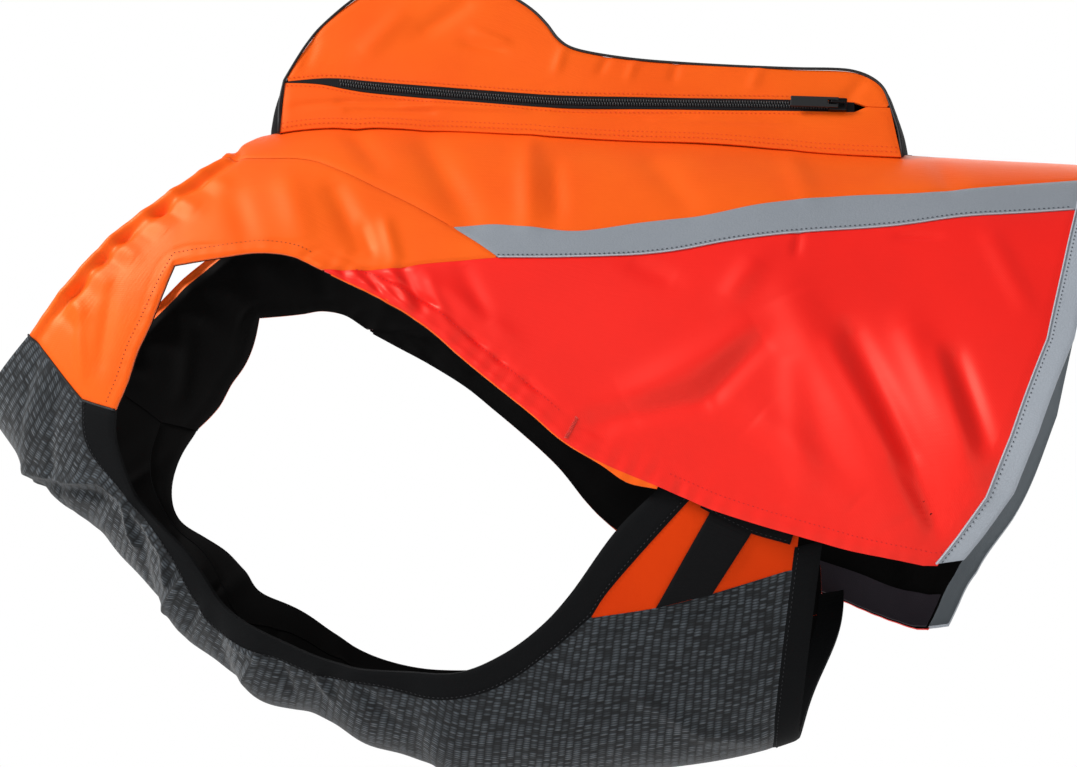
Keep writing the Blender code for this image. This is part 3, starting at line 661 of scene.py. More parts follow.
# Smaller and sharper creases, in their own places on each side
FINE_CREASES = creases(
    (-1, 352, -150, 399, -264, 10, -4.6), (-1, 340, -158, 388, -262, 7, 2.0),
    (-1, 410, -168, 426, -225, 8, -3.6), (-1, 399, -165, 415, -228, 6, 1.5),
    (-1, 304, -152, 270, -186, 12, -3.2), (-1, 272, -186, 204, -199, 12, -3.0),
    (-1, 318, -166, 326, -244, 13, 1.8), (-1, 374, -232, 396, -266, 5, -2.0),
    (-1, 387, -230, 400, -262, 4, 1.2), (-1, 324, -88, 322, -102, 4, -1.2),
    (-1, 380, -91, 404, -92, 4, -1.1), (-1, 226, -104, 252, -116, 9, -1.2),
    (-1, 432, -90, 452, -140, 9, 1.3), (-1, 93, -103, 107, -130, 4, -2.0),
    (-1, 86, -104, 100, -129, 4, 1.7), (-1, 79, -112, 101, -134, 3.2, 1.3),
    (-1, 72, -106, 90, -128, 3, -1.4), (-1, 64, -104, 76, -116, 2.8, 1.3),
    (-1, 57, -103, 64, -112, 2.6, -1.2), (-1, 110, -112, 122, -140, 5, 1.2),
    (-1, 128, -104, 146, -140, 8, -1.4), (-1, 51, -48, 71, -93, 10, -2.6), (-1, 82, -72, 90, -100, 6, 1.6),
    (-1, 69, -74, 76, -94, 4.5, -1.2), (-1, 26, -40, 38, -84, 12, 1.6), (-1, -2, -50, 8, -86, 10, -1.2),
    (-1, -70, -104, -77, -152, 7, -1.5), (-1, -92, -116, -88, -156, 6, 1.3),
    (-1, 100, -14, 133, -76, 13, -2.6), (-1, 163, -18, 168, -77, 10, 2.4),
    (-1, 180, -34, 184, -74, 7, -1.6), (-1, 56, -4, 79, -38, 10, -1.8), (-1, 234, -30, 262, -70, 12, -1.4),
    (-1, 318, -30, 330, -64, 10, 1.3), (-1, 404, -34, 412, -60, 9, -1.2),
    (1, 350, -152, 394, -258, 8, -3.0), (1, 336, -158, 382, -256, 7, 1.8),
    (1, 404, -166, 430, -226, 7, -2.6), (1, 298, -150, 258, -188, 11, -2.2),
    (1, 258, -188, 200, -196, 12, -2.0), (1, 320, -104, 316, -128, 6, -1.2),
    (1, 78, -108, 98, -134, 3.6, 1.6), (1, 88, -104, 110, -132, 4, -1.6), (1, 62, -104, 78, -118, 2.8, 1.3),
    (1, 118, -106, 138, -142, 7, -1.2), (1, 40, -46, 62, -90, 10, -2.2), (1, 76, -70, 86, -98, 6, 1.4),
    (1, 6, -46, 16, -84, 10, 1.2), (1, -74, -106, -80, -154, 7, -1.4), (1, 112, -16, 142, -74, 13, -2.2),
    (1, 176, -20, 180, -76, 10, 2.0), (1, 262, -26, 280, -68, 12, -1.4), (1, 352, -30, 366, -64, 10, -1.2),
)
# Folds of the chest and belly cloth, seen in the side elevation
SLING_CREASES = creases(
    (-1, -143, -203, -118, -211, 3.6, 4.0), (-1, -118, -211, -84, -216, 3.6, 4.3),
    (-1, -84, -216, -69, -227, 3.6, 4.0), (-1, -140, -211, -116, -219, 5, -2.8),
    (-1, -116, -219, -84, -225, 5, -2.8), (-1, -69, -227, -70, -244, 3.4, 3.7),
    (-1, -70, -244, -66, -254, 3.4, 3.4), (-1, -68, -227, -56, -244, 4, 3.4),
    (-1, -56, -244, -47, -257, 4, 3.7), (-1, -47, -257, -48, -276, 4, 3.4),
    (-1, -39, -275, -55, -290, 4, 3.4), (-1, -30, -286, -42, -302, 5, -2.8),
    (-1, -12, -311, 7, -319, 4, 2.8), (-1, 7, -319, -8, -333, 4, 2.8), (-1, 18, -324, 22, -346, 5, -2.5),
    (-1, 40, -331, 46, -348, 4.5, 3.1), (-1, 66, -338, 84, -362, 6, -2.2),
    (-1, 226, -350, 262, -372, 6, 2.2), (-1, 262, -372, 304, -370, 6, 2.2),
    (-1, 212, -314, 300, -300, 4, -1.6), (1, -142, -206, -104, -216, 4, 3.7),
    (1, -104, -216, -74, -232, 4, 3.7), (1, -140, -214, -104, -224, 5, -2.5),
    (1, -60, -240, -50, -262, 4, 3.4), (1, -36, -276, -50, -292, 4, 3.1), (1, -6, -312, -2, -334, 4.5, 2.8),
    (1, 34, -330, 42, -350, 5, -2.5), (1, 80, -340, 92, -364, 6, 2.2), (1, 230, -352, 300, -368, 6, 2.2),
)
CRUMPLES = (
    Crumple(0.7, 165, 0.5, 60, 0.16, 3.0),
    Crumple(1.45, 170, 0.4, 50, 0.20, 2.0),
    Crumple(2.55, 172, 0.5, 44, 0.20, 5.0),
    Crumple(3.25, 178, 0.4, 50, 0.22, 5.5),
    Crumple(4.05, 176, 0.3, 52, 0.20, 4.5),
    Crumple(4.75, 182, 0.4, 60, 0.22, 3.5),
    Crumple(2.05, 215, 0.5, 50, 0.20, 4.0),
    Crumple(5.6, 205, 0.4, 50, 0.24, 3.0),
)
FINE_CRUMPLES = (
    Crumple(0.45, 140, 0.5, 26, 0.07, -1.6),
    Crumple(1.05, 150, 0.6, 30, 0.07, -1.8),
    Crumple(1.75, 156, -0.5, 26, 0.07, 1.6),
    Crumple(2.25, 160, 0.4, 26, 0.07, -2.2),
    Crumple(2.95, 164, 0.4, 28, 0.08, -2.0),
    Crumple(3.7, 160, -0.3, 30, 0.08, -2.0),
    Crumple(4.45, 164, 0.3, 30, 0.08, -1.6),
    Crumple(1.3, 205, 0.4, 30, 0.08, -1.6),
    Crumple(2.6, 212, 0.5, 28, 0.08, -1.8),
    Crumple(3.6, 205, -0.4, 30, 0.09, -1.8),
    Crumple(5.2, 170, 0.2, 40, 0.1, -0.9),
    Crumple(6.1, 190, 0.2, 50, 0.12, -0.8),
)


@dataclass(frozen=True)
class BodyForm:
    """The worn form: rings that lean forward, how the vest hangs on them, and its relief.

    A station is a ring number; a turn is the angle round a ring, 0 on the spine and negative on the left.
    """

    rings: Table = (
        (0, 0, -168, -172, 60, 0.08),
        (32, 4, -131, -219, 72, 0.08),
        (68, 4, -82, -263, 80, 0.06),
        (112, 2, -18, -332, 84, 0.06),
        (165, -2, 58, -376, 87, 0.06),
        (225, -7, 140, -400, 91, 0.04),
        (290, -13, 222, -394, 94, 0.02),
        (360, -21, 306, -373, 95, 0.0),
        (430, -28, 385, -352, 95, 0.0),
        (505, -35, 462, -335, 95, 0.0),
    )
    # How it leaves the rings: side (0 for both), middle station and turn, reach in each, x and z moved
    hang: Table = (
        (1, 1.6, 90, 0.6, 18, 12, 0),
        (1, 1.75, 112, 0.4, 12, 8, 0),
        (1, 1.9, 135, 0.6, 22, -13, -3),
        (1, 3.15, 140, 0.45, 22, 3, 9),
        (1, 4.3, 130, 0.5, 16, 0, -5),
        (1, 4.0, 84, 0.6, 12, 0, 3),
        (1, 5.5, 97, 0.7, 14, -7, -15),
        (1, 8.5, 113, 0.9, 12, -14, 3),
        (0, 1.55, 172, 0.3, 30, 3, 5),
        (0, 3.9, 180, 0.55, 30, 0, 5),
        (0, 6.9, 175, 0.7, 40, 0, -9),
        (1, 7.1, 121, 0.6, 18, 13, 0),
    )
    hang_fade: float = 25
    neck_yaw: float = 8.5
    neck_yaw_stations: tuple[float, float] = (0.3, 3.2)
    sling_roll: float = 4.0
    sling_roll_stations: tuple[float, float, float, float] = (0.0, 1.5, 4.5, 7.0)
    sling_roll_turns: tuple[float, float] = (75, 125)
    flap_roll: float = 2.0
    flap_roll_stations: tuple[float, float] = (6.0, 8.2)
    flap_roll_turns: tuple[float, float] = (60, 115)
    flap_stand: float = 32.0
    flap_stand_stations: tuple[float, float] = (6.0, 8.8)
    flap_stand_turns: tuple[float, float] = (60, 122)
    sling_tuck: float = 6.5
    unevenness: float = 0.6

    def ring_at(self, station: np.ndarray) -> np.ndarray:
        """Ring columns at any station.

        Args:
            station: ring numbers.

        Returns:
            One row of ring values for each.
        """
        rings = np.asarray(self.rings, float)
        last = len(rings) - 1
        inside = spline(self.rings, station / last)
        front = rings[0] + (rings[1] - rings[0]) * station[:, None]
        rear = rings[-1] + (rings[-1] - rings[-2]) * (station - last)[:, None]
        inside = np.where((station < 0)[:, None], front, inside)
        return np.where((station > last)[:, None], rear, inside)

    def place(self, elevation: np.ndarray) -> np.ndarray:
        """Find points of the side elevation on the rings.

        Args:
            elevation: x and z of the points.

        Returns:
            Station and turn of each, the turn counted positive.
        """
        x, z = elevation[:, 0], elevation[:, 1]
        low = np.full(len(x), -1.0)
        high = np.full(len(x), float(len(self.rings)))
        for _ in range(36):
            middle = (low + high) / 2
            ring = self.ring_at(middle)
            along_x = ring[:, 2] - ring[:, 0]
            along_z = ring[:, 3] - ring[:, 1]
            behind = (z - ring[:, 1]) * along_x > (x - ring[:, 0]) * along_z
            low = np.where(behind, middle, low)
            high = np.where(behind, high, middle)
        span = along_x**2 + along_z**2
        share = ((x - ring[:, 0]) * along_x + (z - ring[:, 1]) * along_z) / span
        return np.stack([middle, np.degrees(np.arccos(np.clip(1 - 2 * share, -1, 1)))], axis=1)

    def elevation_of(self, station: np.ndarray, turn: np.ndarray) -> np.ndarray:
        """Side elevation of points on the rings.

        Args:
            station: ring numbers.
            turn: turns round them.

        Returns:
            x and z of each point.
        """
        ring = self.ring_at(station)
        share = ((1 - np.cos(np.radians(turn))) / 2)[:, None]
        return ring[:, 0:2] + (ring[:, 2:4] - ring[:, 0:2]) * share

    def _moved(self, station: np.ndarray, turn: np.ndarray) -> np.ndarray:
        """How far the hanging vest has moved from its rings.

        Args:
            station: ring numbers.
            turn: turns round them, from -180 to 180.

        Returns:
            The moves in x and z.
        """
        away = np.abs(turn)
        fade = step(away, 0, self.hang_fade) * step(180 - away, 0, self.hang_fade)
        moved = np.zeros((len(turn), 2))
        for side, middle, middle_turn, reach, reach_turn, x, z in self.hang:
            weight = np.exp(-(((station - middle) / reach) ** 2) - ((away - middle_turn) / reach_turn) ** 2)
            if side:
                weight = weight * fade * (np.sign(turn) == side)
            moved += weight[:, None] * (x, z)
        return moved

    def form(self, station: np.ndarray, turn: np.ndarray) -> np.ndarray:
        """Points of the plain form.

        Args:
            station: ring numbers.
            turn: turns round them.

        Returns:
            The points, in millimetres.
        """
        turn = np.mod(turn + 180, 360) - 180
        moved = self._moved(station, turn)
        enter, full, leave, gone = self.sling_roll_stations
        share = step(station, enter, full) - step(station, leave, gone)
        down = self.sling_roll * share * step(np.abs(turn), *self.sling_roll_turns)
        up = self.flap_roll * step(station, *self.flap_roll_stations)
        turn = turn - down + up * step(np.abs(turn), *self.flap_roll_turns)
        ring = self.ring_at(station)
        angle = np.radians(turn)
        elevation = self.elevation_of(station, turn)
        y = ring[:, 4] * np.sin(angle) * (1 + ring[:, 5] * np.cos(angle))
        yaw = np.radians(self.neck_yaw * (1 - step(station, *self.neck_yaw_stations)))
        x = elevation[:, 0] + y * np.tan(yaw) + moved[:, 0]
        return np.stack([x, y, elevation[:, 1] + moved[:, 1]], axis=1)

    def outward(self, station: np.ndarray, turn: np.ndarray) -> np.ndarray:
        """Unit normals of the plain form.

        Args:
            station: ring numbers.
            turn: turns round them.

        Returns:
            The normals.
        """
        along = self.form(station + 0.002, turn) - self.form(station - 0.002, turn)
        around = self.form(station, turn + 0.1) - self.form(station, turn - 0.1)
        normal = np.cross(along, around)
        return normal / np.linalg.norm(normal, axis=1)[:, None]

    def jacket_relief(self, station: np.ndarray, turn: np.ndarray) -> np.ndarray:
        """How far folds and gathers lift the jacket cloth.

        Args:
            station: ring numbers.
            turn: turns round them.

        Returns:
            The lift at each point.
        """
        side = np.sign(turn)
        elevation = self.elevation_of(station, np.abs(turn))
        lift = np.zeros(len(station))
        for fold in FLAP_FOLDS + FINE_CREASES + NECK_PUCKERS + GATHERS:
            lift += np.where(side == fold.side, fold.lift(elevation), 0)
        x, z = elevation[:, 0], elevation[:, 1]
        waves = np.sin(x / 17 + z / 29 + side) + np.sin(x / 31 - z / 19 + 2 * side) + np.sin(z / 11 + x / 47)
        return lift + self.unevenness * waves / 3

    def sling_relief(self, station: np.ndarray, turn: np.ndarray) -> np.ndarray:
        """How far crumples lift the chest and belly cloth.

        Args:
            station: ring numbers.
            turn: turns round them.

        Returns:
            The lift at each point.
        """
        around = np.mod(-turn, 360)
        lift = np.zeros(len(station))
        for crumple in CRUMPLES + FINE_CRUMPLES:
            lift += crumple.lift(station, around)
        lift *= (1 - 0.6 * step(station, 5.0, 6.5)) * step(station, 0.0, 0.5)
        turned = np.mod(turn + 180, 360) - 180
        elevation = self.elevation_of(station, np.abs(turned))
        for fold in SLING_CREASES:
            lift += np.where(np.sign(turned) == fold.side, fold.lift(elevation), 0)
        return lift

    def skin(
        self, station: np.ndarray, turn: np.ndarray, lift: np.ndarray | float, sling: bool
    ) -> tuple[np.ndarray, np.ndarray]:
        """Points of a cloth surface that lies outside the form.

        Args:
            station: ring numbers.
            turn: turns round them.
            lift: how far outside the cloth lies.
            sling: whether it is the chest and belly cloth, which is tucked in under the flaps.

        Returns:
            The points in millimetres and the form's normals there.
        """
        normal = self.outward(station, turn)
        if sling:
            away = self.sling_relief(station, turn) - self.sling_tuck * step(station, 1.5, 4.5)
        else:
            stand = step(station, *self.flap_stand_stations) * step(np.abs(turn), *self.flap_stand_turns)
            away = self.flap_stand * stand + self.jacket_relief(station, turn)
        return self.form(station, turn) + normal * (away + lift)[:, None], normal


@dataclass(frozen=True)
class Cut:
    """The edges of the cut pieces, in the left side elevation (x to the rear, z up)."""

    yoke_seam: Table = ((-14, -23), (8, -26), (37, -29), (58, -39), (78, -51), (99, -63), (123, -78))
    yoke_end: Table = ((123, -78), (137, -88), (150, -98))
    tape_top: Table = (
        (123, -78), (145, -77), (170, -80), (197, -83), (234, -78), (270, -74),
        (305, -67), (350, -63), (395, -62), (440, -57), (486, -53),
    )
    tape_bottom: Table = (
        (150, -98), (183, -99), (220, -99), (250, -97), (285, -91), (324, -87),
        (379, -84), (418, -79), (450, -77), (482, -75),
    )
    shoulder_seam: Table = ((150, -98), (109, -101), (94, -103), (71, -104), (47, -103))
    armhole_back: Table = (
        (47, -103), (64, -112), (87, -125), (110, -141), (128, -157), (146, -172),
        (170, -191), (189, -207), (211, -220), (243, -235),
    )
    hem: Table = ((243, -235), (259, -243), (275, -251), (303, -262), (331, -271), (353, -277), (389, -283))
    armhole_top: Table = ((47, -103), (31, -94), (12, -91), (-7, -93), (-34, -96))
    armhole_front: Table = ((-34, -96), (-46, -127), (-54, -143), (-60, -159), (-68, -174))
    neck_side: Table = (
        (-14, -23), (-26, -33), (-40, -45), (-69, -67), (-81, -78), (-103, -102), (-112, -112), (-128, -131),
    )
    strap_seam: Table = ((-128, -131), (-110, -148), (-89, -168))
    binding_outer: Table = (
        (-89, -168), (-90, -188), (-84, -205), (-68, -225), (-48, -251), (-38, -273), (-32, -290),
        (-22, -304), (-6, -312), (14, -321), (40, -333), (76, -339), (105, -346), (131, -345),
        (155, -337), (179, -322), (203, -304),
    )
    binding_upright: Table = ((203, -304), (216, -287), (259, -244), (271, -233))
    binding_inner: Table = (
        (-68, -174), (-70, -191), (-66, -213), (-59, -229), (-46, -243), (-34, -256), (-25, -271),
        (-17, -286), (-4, -297), (20, -311), (43, -322), (66, -328), (96, -330), (126, -330),
        (151, -321), (173, -307), (192, -289), (218, -257), (243, -235), (254, -225),
    )
    belly_top: Table = ((203, -304), (240, -302), (271, -297), (315, -287))
    sling_top: Table = ((271, -233), (292, -247), (316, -258))
    webbing_front: Table = ((271, -252), (240, -302))
    webbing_rear: Table = ((294, -266), (272, -297))
    top_binding_low: Table = ((266, -248), (292, -264), (316, -273))
    top_binding_high: Table = ((273, -232), (298, -248), (322, -257))
    neck_top: Table = ((0, 0.0), (20, 0.1), (42, 0.22))
    trim_front: Table = (
        (0, 8.86), (45, 8.78), (81, 8.67), (102, 8.47), (113, 8.33), (120, 8.14), (124.5, 8.0)
    )
    trim_width: float = 0.2
    sling_end: float = 6.97
    rear_binding_turn: float = 116
    facing_share: float = 0.55


FORM = BodyForm()
CUT = Cut()


def neck_puckers() -> tuple[Crease, ...]:
    """Lay out the gathers of the elastic neck edge.

    Returns:
        Ridges where the solids have them, with soft troughs between them.
    """
    table = (
        (-1, 0.10, 1.6), (-1, 0.24, 2.4), (-1, 0.37, 1.5), (-1, 0.52, 2.2), (-1, 0.66, 1.4), (-1, 0.80, 2.3),
        (1, 0.14, 1.8), (1, 0.28, 2.2), (1, 0.45, 1.7), (1, 0.60, 2.4), (1, 0.76, 1.6), (1, 0.90, 2.0),
    )
    neck = edge(CUT.neck_side, 200)
    made = []
    for side, share, depth in table:
        for offset, width, height in ((0.0, 7.0, 0.7 * depth), (0.065, 4.5, -0.3 * depth)):
            x, z = neck[min(int((share + offset) * 199), 199)]
            made.append(Crease(side, x, z, x + 21, z - 15, width, height))
    return tuple(made)


NECK_PUCKERS = neck_puckers()
ARMHOLE = CUT.armhole_front[::-1] + CUT.armhole_top[::-1][1:]
# The elastic neck, the stitched armhole edges and the hem
GATHERS = (
    Gather(-1, CUT.neck_side, (2.8, 2.6, 1.2), (8.5, 3.4, 3.0), 11.0, 0.14, 11.0,
           ((0.10, 17, 1.1), (0.30, 6, 1.6), (0.475, 7, 1.4), (0.60, 6, 1.2), (0.76, 12, 1.5))),
    Gather(1, CUT.neck_side, (2.8, 2.6, 1.2), (8.5, 3.4, 3.0), 12.0, 0.14, 11.0,
           ((0.16, 13, 1.2), (0.36, 8, 1.5), (0.53, 6, 1.3), (0.70, 9, 1.4), (0.87, 7, 1.1))),
    Gather(-1, CUT.armhole_back, (2.0, 2.5, 0.7), (12.5, 2.2, 1.5), 13.0, 0.28, 13.0,
           ((0.18, 7, 1.2), (0.27, 6, 1.4), (0.42, 7, 1.2), (0.50, 5, 1.0), (0.60, 6, 0.9))),
    Gather(1, CUT.armhole_back, (2.0, 2.5, 0.7), (12.5, 2.2, 1.5), 14.0, 0.28, 13.0,
           ((0.14, 6, 1.2), (0.30, 7, 1.3), (0.45, 6, 1.1), (0.58, 7, 1.0))),
    Gather(-1, ARMHOLE, (1.5, 2.0, 0.3), (7.5, 1.6, 0.45), 9.0, 0.08, 9.0, ((0.6, 10, 1.0), (0.85, 8, 1.2))),
    Gather(1, ARMHOLE, (1.5, 2.0, 0.3), (7.5, 1.6, 0.45), 10.0, 0.08, 9.0, ((0.5, 10, 1.0), (0.8, 9, 1.2))),
    Gather(-1, CUT.hem, (3.0, 3.0, 0.3), (9.5, 1.4, 0.7), 12.0, 0.25, 9.0, ((0.5, 20, 0.6),)),
    Gather(1, CUT.hem, (3.0, 3.0, 0.3), (9.5, 1.4, 0.7), 12.0, 0.25, 9.0, ((0.4, 20, 0.6),)),
)


# ---- meshes ----

def normals_of(points: Grid, outside: Sequence[float]) -> Grid:
    """Unit normals of a grid of points.

    Args:
        points: the grid.
        outside: a direction that points out of the cloth at the grid's middle.

    Returns:
        The normals, on the side where outside lies.
    """
    normal = np.cross(np.gradient(points, axis=0), np.gradient(points, axis=1))
    normal /= np.linalg.norm(normal, axis=2)[:, :, None] + 1e-12
    middle = (points.shape[0] // 2, points.shape[1] // 2)
    return normal * np.sign(normal[middle] @ np.asarray(outside, float))


def beside(points: Grid, side: str, distance: float) -> np.ndarray:
    """Draw a line in a grid at a distance from one of its edges.

    Args:
        points: the grid, in millimetres.
        side: which edge: first or last column of points (top, bottom), first or last row (front, rear).
        distance: how far in from it.

    Returns:
        The line's points.
    """
    turned = {
        "top": points, "bottom": points[:, ::-1],
        "front": points.transpose(1, 0, 2), "rear": points.transpose(1, 0, 2)[:, ::-1],
    }[side]
    made = []
    for line in turned:
        along = lengths(line)
        made.append([np.interp(distance, along, column) for column in line.T])
    return np.array(made)


def finished_object(
    name: str, vertices: np.ndarray, faces: Sequence[Sequence[int]], finishes: Sequence[bpy.types.Material]
) -> bpy.types.Object:
    """Make a smooth mesh object that rides on the vest.

    Args:
        name: the piece's name.
        vertices: its points, in millimetres.
        faces: its faces.
        finishes: its materials.

    Returns:
        The object.
    """
    data = bpy.data.meshes.new(name)
    corners = (np.asarray(vertices, float) * MM).tolist()
    data.from_pydata(corners, [], [list(map(int, face)) for face in faces])
    data.validate()
    for finish in finishes:
        data.materials.append(finish)
    data.shade_smooth()
    made = bpy.data.objects.new(name, data)
    bpy.context.scene.collection.objects.link(made)
    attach(made, BODY)
    return made


@dataclass
class Shell:
    """A cloth piece: a thin closed shell on a grid of outer points.

    The outer surface sinks softly towards its edges, as cloth does at a sewn seam.
    """

    name: str
    points: Grid
    normals: Grid
    thickness: float
    finish: ClothFinish
    reverse: ClothFinish
    gaps: Mapping[str, float | np.ndarray] = field(default_factory=dict)
    seam: float = 0.12
    sink: float = 0.5
    sink_width: float = 2.5

    def _inset(self) -> Grid:
        """Draw the four edges in by their gaps, or out under a neighbour, and sink the cloth beside them."""
        moved = self.points.copy()
        rims = {
            "top": (np.s_[:, 0], np.s_[:, 1]), "bottom": (np.s_[:, -1], np.s_[:, -2]),
            "front": (np.s_[0, :], np.s_[1, :]), "rear": (np.s_[-1, :], np.s_[-2, :]),
        }
        for name, (rim, next_to) in rims.items():
            inward = np.cross(self.normals[rim], np.gradient(self.points[rim], axis=0))
            inward /= np.linalg.norm(inward, axis=1)[:, None] + 1e-12
            side = np.sign(np.sum(inward * (self.points[next_to] - self.points[rim]), axis=1))
            gap = np.broadcast_to(self.gaps.get(name, self.seam), side.shape)
            moved[rim] += inward * (side * gap)[:, None]
        near = self._edge_distance()
        drop = self.sink * np.exp(-((near / self.sink_width) ** 2))
        return moved - self.normals * drop[:, :, None]

    def _edge_distance(self) -> np.ndarray:
        """Distance of each point to the piece's nearest edge, along the grid."""
        down = np.linalg.norm(np.diff(self.points, axis=1), axis=2)
        along = np.linalg.norm(np.diff(self.points, axis=0), axis=2)
        left = np.pad(np.cumsum(down, axis=1), ((0, 0), (1, 0)))
        front = np.pad(np.cumsum(along, axis=0), ((1, 0), (0, 0)))
        across = np.minimum(left, left[:, -1:] - left)
        return np.minimum(across, np.minimum(front, front[-1:] - front))

    def build(self) -> bpy.types.Object:
        """Make the shell, with the cloth's own map in metres.

        Returns:
            The object.
        """
        outer = self._inset()
        inner = outer - self.normals * self.thickness
        rows, columns = outer.shape[:2]
        number = np.arange(rows * columns).reshape(rows, columns)
        quads = np.stack(
            [number[:-1, :-1], number[1:, :-1], number[1:, 1:], number[:-1, 1:]], axis=2
        ).reshape(-1, 4)
        below = quads[:, ::-1] + rows * columns
        rim = np.concatenate([number[:, 0], number[-1, 1:], number[-2::-1, -1], number[0, -2:0:-1]])
        after = np.roll(rim, -1)
        closing = np.stack([after, rim, rim + rows * columns, after + rows * columns], axis=1)
        faces = np.concatenate([quads, below, closing])
        middle = (rows // 2, columns // 2)
        along = outer[middle[0] + 1, middle[1]] - outer[middle]
        down = outer[middle[0], middle[1] + 1] - outer[middle]
        if np.cross(along, down) @ self.normals[middle] < 0:
            faces = faces[:, ::-1]
        vertices = np.concatenate([outer.reshape(-1, 3), inner.reshape(-1, 3)])
        made = finished_object(
            self.name, vertices, faces, (self.finish.material(), self.reverse.material())
        )
        which = np.zeros(len(faces), np.int32)
        which[len(quads):2 * len(quads)] = 1
        made.data.polygons.foreach_set("material_index", which)
        self._map(made, rows, columns)
        made.data.set_sharp_from_angle(angle=math.radians(60))
        return made

    def _map(self, made: bpy.types.Object, rows: int, columns: int) -> None:
        """Lay the cloth's own map on the mesh: length along and across the piece, in metres.

        Args:
            made: the object.
            rows: rows of points; not used.
            columns: columns of points.
        """
        along = np.linalg.norm(np.diff(self.points, axis=0), axis=2).mean(axis=1)
        down = np.linalg.norm(np.diff(self.points, axis=1), axis=2)
        u = np.concatenate([[0.0], np.cumsum(along)])
        v = np.pad(np.cumsum(down, axis=1), ((0, 0), (1, 0)))
        v = v - v[:, columns // 2][:, None]
        spot = np.stack([np.broadcast_to(u[:, None], v.shape), v], axis=2).reshape(-1, 2) * MM
        both = np.concatenate([spot, spot])
        corners = np.zeros(len(made.data.loops), np.int32)
        made.data.loops.foreach_get("vertex_index", corners)
        layer = made.data.uv_layers.new(name="cloth")
        layer.data.foreach_set("uv", both[corners].astype(np.float32).ravel())

    def declare(self, node: str) -> None:
        """Build the piece, and hide the solid it stands for.

        Args:
            node: the solid it stands for.
        """
        made = self.build()
        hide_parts(node)


@dataclass
class Sewing:
    """Rows of separate stitches, gathered in one mesh for each thread.

    The thread is pulled into the cloth, so that what shows of a stitch is little longer than it is wide.
    """

    name: str
    thread: HardFinish
    stitch: float = 1.3
    space: float = 1.5
    thickness: float = 0.5
    _vertices: list[np.ndarray] = field(default_factory=list)
    _faces: list[tuple[int, ...]] = field(default_factory=list)

    def row(self, path: np.ndarray, normals: np.ndarray, raised: float = 0.1) -> None:
        """Sew a row of stitches along a line.

        Args:
            path: the line's points on the cloth, in millimetres.
            normals: the cloth's normals there.
            raised: how far the thread's middle lies above the cloth.
        """
        along = lengths(path)
        pitch = self.stitch + self.space
        if along[-1] < pitch:
            return
        at = np.arange(pitch / 2, along[-1] - pitch / 2, pitch)
        radius = self.thickness / 2
        stops = np.array([-0.5, -0.32, 0.32, 0.5]) * self.stitch
        reach = np.array([0.15, 1.0, 1.0, 0.15]) * radius
        for middle in at:
            ring = []
            for stop, wide in zip(stops, reach):
                spot = np.array([np.interp(middle + stop, along, column) for column in path.T])
                up = np.array([np.interp(middle + stop, along, column) for column in normals.T])
                before = np.array([np.interp(middle - 0.4, along, column) for column in path.T])
                beyond = np.array([np.interp(middle + 0.4, along, column) for column in path.T])
                ahead = beyond - before
                ahead /= np.linalg.norm(ahead) + 1e-12
                side = np.cross(ahead, up)
                sunk = raised if wide > 0.5 * radius else raised - 0.5 * self.thickness
                for angle in np.arange(5) * 2 * math.pi / 5:
                    ring.append(spot + up * (sunk + wide * math.sin(angle)) + side * wide * math.cos(angle))
            first = sum(len(part) for part in self._vertices)
            self._vertices.append(np.array(ring))
            for band in range(3):
                for corner in range(5):
                    here, after = first + band * 5 + corner, first + band * 5 + (corner + 1) % 5
                    self._faces.append((here, after, after + 5, here + 5))
            self._faces.append(tuple(first + corner for corner in range(4, -1, -1)))
            self._faces.append(tuple(first + 15 + corner for corner in range(5)))

    def build(self) -> bpy.types.Object | None:
        """Make the mesh of all stitches.

        Returns:
            The object, or None where nothing was sewn.
        """
        if not self._vertices:
            return None
        vertices = np.concatenate(self._vertices)
        return finished_object(self.name, vertices, self._faces, (self.thread.material(),))


def tube(name: str, path: np.ndarray, radius: float, finish: HardFinish, sides: int = 8) -> bpy.types.Object:
    """Make a round cord, such as piping.

    Args:
        name: the piece's name.
        path: its middle line, in millimetres.
        radius: its radius.
        finish: its material.
        sides: faces round it.

    Returns:
        The object.
    """
    ahead = np.gradient(path, axis=0)
    ahead /= np.linalg.norm(ahead, axis=1)[:, None] + 1e-12
    up = np.cross(ahead, np.array([0.0, 1.0, 0.0]))
    flat = np.linalg.norm(up, axis=1) < 0.2
    up[flat] = np.cross(ahead[flat], np.array([0.0, 0.0, 1.0]))
    up /= np.linalg.norm(up, axis=1)[:, None]
    side = np.cross(ahead, up)
    vertices, faces = [], []
    for spot, rise, across in zip(path, up, side):
        for angle in np.arange(sides) * 2 * math.pi / sides:
            vertices.append(spot + radius * (rise * math.cos(angle) + across * math.sin(angle)))
    for ring in range(len(path) - 1):
        for corner in range(sides):
            here, after = ring * sides + corner, ring * sides + (corner + 1) % sides
            faces.append((here, here + sides, after + sides, after))
    faces.append(tuple(range(sides)))
    faces.append(tuple(len(vertices) - 1 - corner for corner in range(sides)))
    return finished_object(name, np.array(vertices), faces, (finish.material(),))


# ---- jacket ----

def finer(count: int, refine: int) -> int:
    """Points of an edge after its stretches between the solid's points are divided.

    Args:
        count: the solid's points.
        refine: parts of each stretch.

    Returns:
        The number of points.
    """
    return (count - 1) * refine + 1


def laid(patch: Grid, side: int, lift: float, sling: bool = False) -> tuple[Grid, Grid]:
    """Lay a patch of the side elevation on the form.

    Args:
        patch: x and z of its points.
        side: -1 for the left side, 1 for the right.
        lift: how far outside the form it lies.
        sling: whether it is chest or belly cloth.

    Returns:
        Its points and normals.
    """
    placed = FORM.place(patch.reshape(-1, 2)).reshape(patch.shape) * (1, side)
    return wound(placed, lift, sling)


